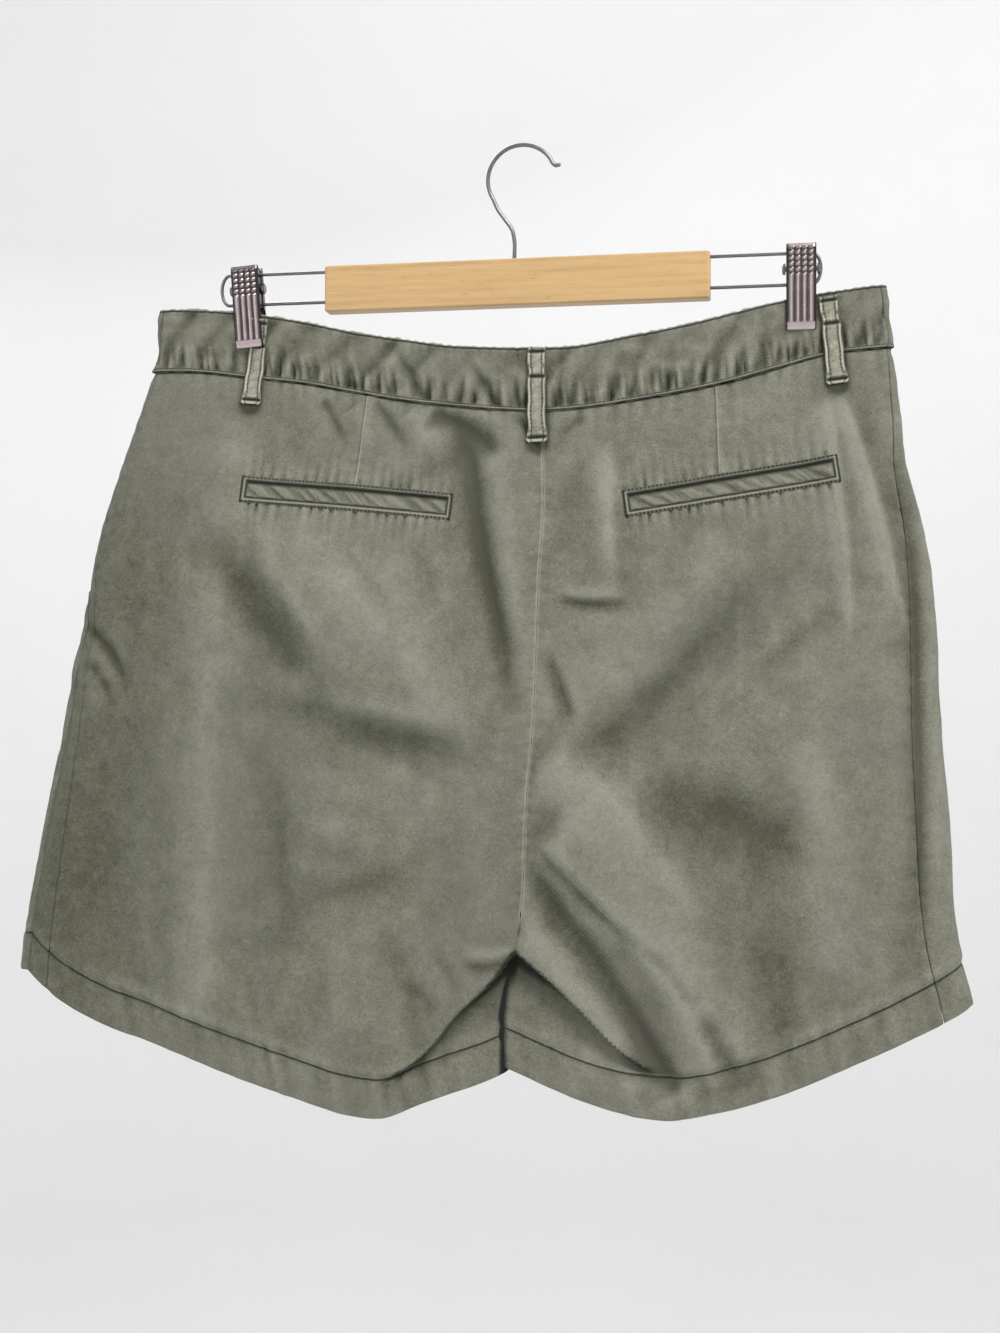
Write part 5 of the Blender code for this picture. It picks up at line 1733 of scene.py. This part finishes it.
def make_loops(tree, side_face, material):
    """Belt loops: doubled strips, stitched along both edges and tacked across at their ends."""
    rows, tacks = [], []
    half = LOOP_WIDTH / 2.0
    for name, face, top_x, top_z, end_x, end_z, bow in LOOPS:
        if face != side_face:
            continue
        length = math.hypot(end_x - top_x, end_z - top_z)
        distances = spaced(length, 0.5, (0.0, 0.25, 0.5, 0.8, 1.15, 1.5))
        across = spaced(2.0 * half, 0.42, (0.0, 0.2, 0.45, 0.75)) - half
        grid, u, v = strip_grid((top_x, top_z), (end_x, end_z), distances, across)
        share = u / length
        direction = (grid[0, -1] - grid[0, 0]) / (2.0 * half)
        aside = v * (loop_width(share, u, length) - 1.0) + 0.35 * uneven_wave(u, *LOOP_WAVE)
        grid = grid + direction * aside[..., None]
        out = np.abs(v)
        relief = 0.30 * bump(v, 0.0, 2.2) + 0.40 * bump(out, half - 0.9, 0.75)
        groove = bump(out, half - LOOP_STITCH_INSET, 0.42)
        gathered = gathers(u + 0.5 * v, *LOOP_GATHERS) * bump(v, 0.0, 3.2)
        relief = relief - 0.45 * groove + 0.20 * gathered
        bars = np.zeros(u.shape)
        for tack in LOOP_TACKS:
            bars = np.maximum(bars, bump(u, tack * length, 1.15) * smooth_step(5.4, 4.8, out))
            relief = relief + 0.35 * bump(np.abs(u - tack * length), 2.2, 0.9)
        relief = relief - 0.6 * bars
        pinch = bump(share, 0.20, 0.03) * bump(out, half - 1.3, 1.0)
        pinch = np.maximum(pinch, bump(share, 0.885, 0.03) * bump(out, half - 1.3, 0.7))
        lift = TRIM_LIFT + 0.5 + bow * np.sin(math.pi * share) ** 0.8
        depth = dropped(tree, grid, face, 30) + face * (lift + relief - 0.3 * pinch)
        # Painted shade in the stitch grooves, at the pinches and along the loop's edges, with the
        # dark thread of the tacks; the tone is lighter where the loop stands out and darker, with
        # painted shade, where it sinks
        dots = 0.62 + 0.38 * np.cos(2.0 * math.pi * u / 2.5)
        outline = smooth_step(1.1, 0.3, half - out)
        lines = {
            "groove": most(0.75 * groove * dots, bars, 0.8 * pinch, 0.85 * outline),
            "worn": np.maximum(bump(out, half - 1.5, 0.6), bump(u, length - 1.5, 0.8)),
            "wear_and_shade": np.clip(0.35 + 0.6 * relief, 0.0, 1.0),
        }
        to_edge = least(half - out, u, length - u)
        placed, normal = trim_piece(
            name, grid, depth, face, to_edge, lines, material, "worn_twill"
        )
        stitched = (across[0] + LOOP_STITCH_INSET, across[-1] - LOOP_STITCH_INSET)
        rows += lengthwise_rows(placed, normal, across, stitched)
        tacked = [tack * length + shift for tack in LOOP_TACKS for shift in (-0.4, 0.4)]
        tacks += kept_points(crossing_rows(placed, normal, distances, tacked), slice(4, -4))
    return rows, tacks


def make_mouths(tree, material):
    """Slash pocket mouths of the front: folded edges with two rows of stitches."""
    rows = []
    half = MOUTH_WIDTH / 2.0
    for name, top_x, top_z, end_x, end_z in MOUTHS:
        length = math.hypot(end_x - top_x, end_z - top_z)
        distances = spaced(length, 1.3)
        across = spaced(2.0 * half, 0.7, (0.0, 0.25, 0.6, 1.1)) - half
        grid, u, v = strip_grid((top_x, top_z), (end_x, end_z), distances, across)
        inward = half - np.abs(v)
        open_side = v * (1.0 if top_x > end_x else -1.0)
        lip = 0.9 * smooth_step(-half, half, -open_side)
        relief = 0.35 * uneven_wave(u + 0.6 * v, *MOUTH_WAVE) * smooth_step(0.0, 3.0, inward)
        depth = dropped(tree, grid, 1, 6) + TRIM_LIFT + 0.45 + lip + relief
        # Painted shade in the stitch rows; the tone is lighter where the edge stands out and darker,
        # with painted shade, where it sinks
        lines = {
            "groove": 0.7 * bump(inward, MOUTH_STITCH, 0.5),
            "worn": 0.8 * bump(inward, 0.4, 0.6),
            "wear_and_shade": np.clip(0.5 + 0.4 * relief, 0.0, 1.0),
        }
        to_edge = least(inward, u, length - u)
        placed, normal = trim_piece(name, grid, depth, 1, to_edge, lines, material)
        stitched = (across[0] + MOUTH_STITCH, across[-1] - MOUTH_STITCH)
        rows += lengthwise_rows(placed, normal, across, stitched)
    return rows


def make_fly(tree, material):
    """Fly shield of the front: its free edge at the centre and a curved row of stitches."""
    rows = np.linspace(0.0, 1.0, 96)[:, None]
    shares = np.linspace(0.0, 1.0, 30)
    z = FLY_TOP + (FLY_BOTTOM - FLY_TOP) * rows + 0.0 * shares
    curve = np.maximum(0.0, (rows - 0.72) / 0.28)
    width = FLY_TIP + (FLY_WIDTH - FLY_TIP) * np.sqrt(1.0 - 0.96 * curve**2)
    x = centre_x(z) + 1.0 + width * shares
    relief = 0.35 * uneven_wave(z + 0.4 * x, *FLY_WAVE)
    relief = relief + 0.25 * uneven_wave(z, *FLY_BROAD_WAVE)
    from_free = width * shares
    from_sewn = width * (1.0 - shares)
    to_edge = least(from_free, from_sewn, FLY_TOP - z, z - FLY_BOTTOM)
    grid = np.stack([x, z], axis=-1)
    lift = TRIM_LIFT + 0.5 + 1.1 * smooth_step(10.0, 0.0, from_free)
    depth = dropped(tree, grid, 1, 6) + lift + relief * smooth_step(0.0, 4.0, to_edge)
    # Painted shade in the first stitch row; the tone is lighter where the shield stands out and
    # darker, with painted shade, where it sinks
    lines = {
        "groove": 0.7 * bump(from_sewn, FLY_STITCHES[0], 0.7),
        "worn": 0.8 * bump(np.minimum(from_free, from_sewn), 0.4, 0.7),
        "wear_and_shade": np.clip(0.5 + 0.3 * relief, 0.0, 1.0),
    }
    placed, normal = trim_piece("fly", grid, depth, 1, to_edge, lines, material)
    placed, normal = placed.transpose(1, 0, 2), normal.transpose(1, 0, 2)
    found = [level_line(placed, normal, from_sewn.T, value) for value in FLY_STITCHES]
    return kept_points(found, slice(3, -2))


def make_button(tree, material):
    """Four-hole button with a raised rim and a dished face; returns where it sits."""
    x, z = float(centre_x(BUTTON_PLACE[1]) + BUTTON_PLACE[0]), BUTTON_PLACE[1]
    y = float(drop_on(tree, x, z, 1) + 0.4)
    button = ring_mesh("waist_button_horn", lathe_rings(BUTTON_PROFILE, (x, y, z), 1, 56), 45.0)
    for across in (-BUTTON_HOLE, BUTTON_HOLE):
        for up in (-BUTTON_HOLE, BUTTON_HOLE):
            drill_hole(button, (x + across, y + 1.0, z + up), 0.85)
    finish_piece(button, "button", material, "waist_button")
    return x, y, z


def drill_hole(target, centre, radius):
    """Cuts a round hole through a piece along Y."""
    cutter = ring_mesh("drill", lathe_rings(((-4.0, radius), (4.0, radius)), centre, 1, 20))
    cut = target.modifiers.new("hole", "BOOLEAN")
    cut.operation = "DIFFERENCE"
    cut.object = cutter
    bpy.context.view_layer.update()
    evaluated = target.evaluated_get(bpy.context.evaluated_depsgraph_get())
    mesh = bpy.data.meshes.new_from_object(evaluated)
    target.modifiers.clear()
    target.data = mesh
    bpy.data.objects.remove(cutter, do_unlink=True)


# ---------------------------------------------------------------- stitches


def drawn_rows(grids, key, value):
    """Rows of (points, normals) where a drawn distance of some grids has a value."""
    return [level_line(grid["outer"], grid["normal"], grid["lines"][key], value) for grid in grids]


def button_rows(x, y, z):
    """Two threads over each pair of the button's holes."""
    rows = []
    for across in (-BUTTON_HOLE, BUTTON_HOLE):
        for shift in (-0.25, 0.25):
            beside = x + across + shift
            line = ((beside, y + 1.2, z - 1.6), (beside, y + 2.0, z), (beside, y + 1.2, z + 1.6))
            rows.append((np.array(line), np.tile((0.0, 1.0, 0.0), (3, 1))))
    return rows


def make_stitches(panels, bands, trim_rows, tacks, button, thread):
    """All rows of thread, as one piece for each part of the garment."""
    waist_rows = []
    for band in bands:
        waist_rows += drawn_rows([band], "top_mm", BAND_TOP_STITCH)
        waist_rows += drawn_rows([band], "low_mm", BAND_LOW_STITCH)
    hem_rows = drawn_rows(panels, "hem_mm", HEM_STITCH)
    # Name, rows, radius of the thread, distance from stitch to stitch, length of a stitch
    for name, rows, radius, pitch, length in (
        ("stitches_hems", hem_rows, STITCH_RADIUS, 2.5, 1.75),
        ("stitches_waist", waist_rows, STITCH_RADIUS, 2.5, 1.75),
        ("stitches_trims", trim_rows, 0.3, TRIM_PITCH, 1.2),
        ("stitches_tacks", tacks, 0.3, 0.95, 0.9),
        ("stitches_button", button_rows(*button), 0.35, 3.5, 2.8),
    ):
        stitch_piece(name, rows, thread, radius, pitch, length)


# ---------------------------------------------------------------- hanger


def arc(centre, radius, degrees):
    """Points of (across, height) on a circle, at some angles from the +X side."""
    angles = [math.radians(turn) for turn in degrees]
    return [(centre[0] + radius * math.cos(a), centre[1] + radius * math.sin(a)) for a in angles]


def flat_wire(name, path, radius, sides, steel, node):
    """Wire through points of (across, height) in the hanger's middle plane."""
    points = [(x, 0.0, z) for x, z in path]
    finish_piece(tube(name, points, radius, sides), "steel", steel, node)


def make_hook(steel):
    crown = arc((0.0, HOOK_CENTRE_Z), HOOK_RADIUS, range(212, 24, -11))
    path = smooth_path(HOOK_STEM + crown + HOOK_TIP, 150)
    flat_wire("hook_wire", path, HOOK_WIRE, 18, steel, "hanger_hook")


def make_wires(steel):
    """A flattened U of wire at each end of the bar, on which a clip slides."""
    half = (WIRE_UPPER_Z - WIRE_LOWER_Z) / 2.0
    for name, root, loop_end, side in WIRES:
        turn = loop_end - side * half * 0.55
        path = [(root, WIRE_UPPER_Z), ((root + turn) / 2.0, WIRE_UPPER_Z)]
        for x, z in arc((0.0, WIRE_MIDDLE_Z), half, range(90, -91, -6)):
            path.append((turn + side * 0.55 * x, z))
        path += [((root + turn) / 2.0, WIRE_LOWER_Z), (root, WIRE_LOWER_Z)]
        flat_wire(name + "_steel", path, WIRE_RADIUS, 14, steel, name)


def leaned(points, centre, lean):
    """Points turned about a clip's pivot by its lean."""
    angle = math.radians(lean)
    x, z = points[..., 0] - centre, points[..., 2] - WIRE_MIDDLE_Z
    turned = points.copy()
    turned[..., 0] = centre + x * math.cos(angle) - z * math.sin(angle)
    turned[..., 2] = WIRE_MIDDLE_Z + x * math.sin(angle) + z * math.cos(angle)
    return turned


def jaw_piece(name, centre, face, lean, metal, node):
    """Pressed half of a clip: a channel with ribs, rows of studs, flanges and a flat lip."""
    half = CLIP_WIDTH / 2.0
    u, t = np.meshgrid(np.linspace(-1.0, 1.0, 81), np.linspace(0.0, 1.0, 121))
    z = CLIP_TOP + (CLIP_BOTTOM - CLIP_TOP) * t
    flange = CLIP_FLANGE * smooth_step(0.56, 0.50, t) * smooth_step(0.0, 0.05, t)
    path = half + np.maximum(flange, 0.9)
    run = np.abs(u) * path
    quarter = math.pi / 2.0
    past = run - (half - CLIP_CORNER)
    bend = np.clip(past / (CLIP_CORNER * quarter), 0.0, 1.0) * quarter
    x = np.clip(run, 0.0, half - CLIP_CORNER) + CLIP_CORNER * np.sin(bend)
    back = CLIP_CORNER * (1.0 - np.cos(bend)) + np.maximum(past - CLIP_CORNER * quarter, 0.0)
    x = np.minimum(x, half) * np.sign(u)
    rib = (0.5 - 0.5 * np.cos(2.0 * math.pi * x / CLIP_RIB_PITCH)) ** 1.3
    rib = rib * (np.abs(x) < 2.0 * CLIP_RIB_PITCH) * (run < half - 0.6)
    rib = CLIP_RIB_HEIGHT * rib
    ribs = rib * smooth_step(*CLIP_RIBS_TOP, z) * smooth_step(*CLIP_RIBS_BOTTOM, z)
    stud = (0.5 + 0.5 * np.cos(2.0 * math.pi * (z + 81.0) / CLIP_STUD_PITCH)) ** 0.8
    studs = rib * stud * smooth_step(*CLIP_STUDS_BOTTOM, z) * smooth_step(*CLIP_STUDS_TOP, z)
    lip = 0.54 * smooth_step(*CLIP_LIP_TOP, z)
    top_curl = -0.8 * smooth_step(-68.5, CLIP_TOP, z)
    y = CLIP_INNER + 0.85 + ribs + studs + top_curl - lip - back
    points = leaned(np.stack([centre + x, face * y, z], axis=-1), centre, lean)
    to_edge = least((1.0 - np.abs(u)) * path, CLIP_TOP - z, z - CLIP_BOTTOM)
    outer, inner = rounded_wall(points, grid_normals(points, face), CLIP_WALL, to_edge, 0.5)
    # Painted shade in the grooves between the ribs and studs, and along the plate's side edges
    ribbed = smooth_step(*CLIP_RIBS_BOTTOM, z) * smooth_step(-67.0, -68.4, z)
    painted_shade = ribbed * (1.0 - np.clip((ribs + studs) / CLIP_RIB_HEIGHT, 0.0, 1.0) ** 0.7)
    lines = {"groove": np.maximum(painted_shade, smooth_step(half - 1.4, half - 0.2, run))}
    finish_piece(shell(name, outer, inner, lines, 40.0), "clip", metal, node)


def spring_piece(name, centre, lean, steel, node):
    """Coil of the torsion spring round the clip's pivot."""
    last = 2.0 * math.pi * SPRING_TURNS + 0.5 * math.pi
    angles = np.linspace(-0.5 * math.pi, last, 22 * SPRING_TURNS)
    # Share of the painted shade on the inner side of the cloth folded over the inseams.
    x = centre + SPRING_HALF_WIDTH * np.linspace(-1.0, 1.0, len(angles))
    y = SPRING_RADIUS * np.cos(angles)
    z = WIRE_MIDDLE_Z + SPRING_RADIUS * np.sin(angles)
    coil = leaned(np.stack([x, y, z], axis=1), centre, lean)
    finish_piece(tube(name, coil, SPRING_WIRE, 8), "steel", steel, node)


def pivot_piece(name, centre, lean, steel):
    """Pin through the spring and both jaws, with a round head beyond each side of the clip."""
    profile = [(-across, radius) for across, radius in PIN_PROFILE[::-1]] + list(PIN_PROFILE)
    rings = leaned(lathe_rings(profile, (centre, 0.0, WIRE_MIDDLE_Z), 0, 24), centre, lean)
    finish_piece(ring_mesh(name, rings, 40.0), "steel", steel)


def make_clips(metal, steel):
    for name, centre, lean in CLIPS:
        for face, face_name in FACES:
            node = f"{name}_{face_name}"
            jaw_piece(node + "_plate", centre, face, lean, metal, node)
        spring_piece(name + "_coil", centre, lean, steel, name + "_spring")
        pivot_piece(name + "_pin", centre, lean, steel)


# ---------------------------------------------------------------- stage, light and camera


def make_stage():
    """Pale floor that sweeps up all round, far from the object."""
    sides = 72
    # Height of the sweep and its distance from the middle, in metres
    profile = [(-1.9, 0.01), (-1.9, 1.0), (-1.9, 2.0)]
    profile += [(height, out) for out, height in arc((2.0, -1.4), 0.5, range(-75, 1, 15))]
    profile.append((3.0, 2.5))
    points = lathe_rings(profile, 0.0, 2, sides).reshape(-1, 3)
    faces = ring_faces(len(profile), sides) + [list(range(sides))[::-1]]
    sweep = add_mesh("studio_sweep", points, faces, None, 1.0)
    sweep.data.materials.append(studio_material())


def make_lights():
    for name, place, size, power, colour, aim in LIGHTS:
        light = bpy.data.lights.new(name, "AREA")
        light.shape = "DISK"
        light.size = size
        light.energy = power
        light.color = colour
        made = bpy.data.objects.new(name, light)
        made.location = place
        made.rotation_euler = (Vector(aim) - Vector(place)).to_track_quat("-Z", "Y").to_euler()
        bpy.context.scene.collection.objects.link(made)
    world = bpy.data.worlds.new("studio_air")
    world.use_nodes = True
    background = world.node_tree.nodes["Background"]
    background.inputs["Color"].default_value = (*WORLD_COLOUR, 1.0)
    background.inputs["Strength"].default_value = WORLD_STRENGTH
    bpy.context.scene.world = world


def make_camera():
    camera = bpy.data.cameras.new("camera")
    camera.lens = CAMERA_LENS
    camera.sensor_width = CAMERA_SENSOR
    camera.clip_start = 0.02
    camera.clip_end = 30.0
    made = bpy.data.objects.new("camera", camera)
    made.location = CAMERA_PLACE
    made.rotation_euler = tuple(math.radians(angle) for angle in CAMERA_TURN)
    bpy.context.scene.collection.objects.link(made)
    bpy.context.scene.camera = made


# ---------------------------------------------------------------- the whole


def main():
    make_camera()
    make_lights()
    make_stage()
    bpy.context.scene.view_settings.view_transform = "Standard"

    trim_cloth = cloth_material("olive_twill_trim", "trim")
    worn_cloth = cloth_material("worn_twill", "trim", WORN_DARK, WORN, WORN_PALE, WORN)
    steel = metal_material("hook_steel", STEEL, 0.22, (900.0, 900.0, 60.0))
    clip_metal = metal_material("clip_plate", CLIP_METAL, 0.17, (60.0, 900.0, 900.0))

    panels = make_panels(cloth_material("olive_twill", "panel"))
    bands = make_bands(cloth_material("olive_twill_band", "band"))
    outer = {key: grid["outer"] for key, grid in (panels | bands).items()}
    back_tree = surface_of(outer["back_left"], outer["back_right"], outer["back"])
    front_panels = (outer["front_left"], outer["front_right"])
    front_tree = surface_of(*front_panels, outer["left"], outer["right"])
    bare_front_tree = surface_of(*front_panels)

    trim_rows = make_welts(back_tree, trim_cloth)
    back_rows, back_tacks = make_loops(back_tree, -1, worn_cloth)
    front_rows, front_tacks = make_loops(front_tree, 1, worn_cloth)
    trim_rows += back_rows + front_rows
    trim_rows += make_mouths(bare_front_tree, trim_cloth) + make_fly(bare_front_tree, trim_cloth)
    button = make_button(front_tree, button_material())
    tacks = back_tacks + front_tacks
    make_stitches(panels.values(), bands.values(), trim_rows, tacks, button, thread_material())

    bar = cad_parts["hanger_bar"]
    bar.data.materials.clear()
    bar.data.materials.append(wood_material())
    make_hook(steel)
    make_wires(steel)
    make_clips(clip_metal, steel)


main()
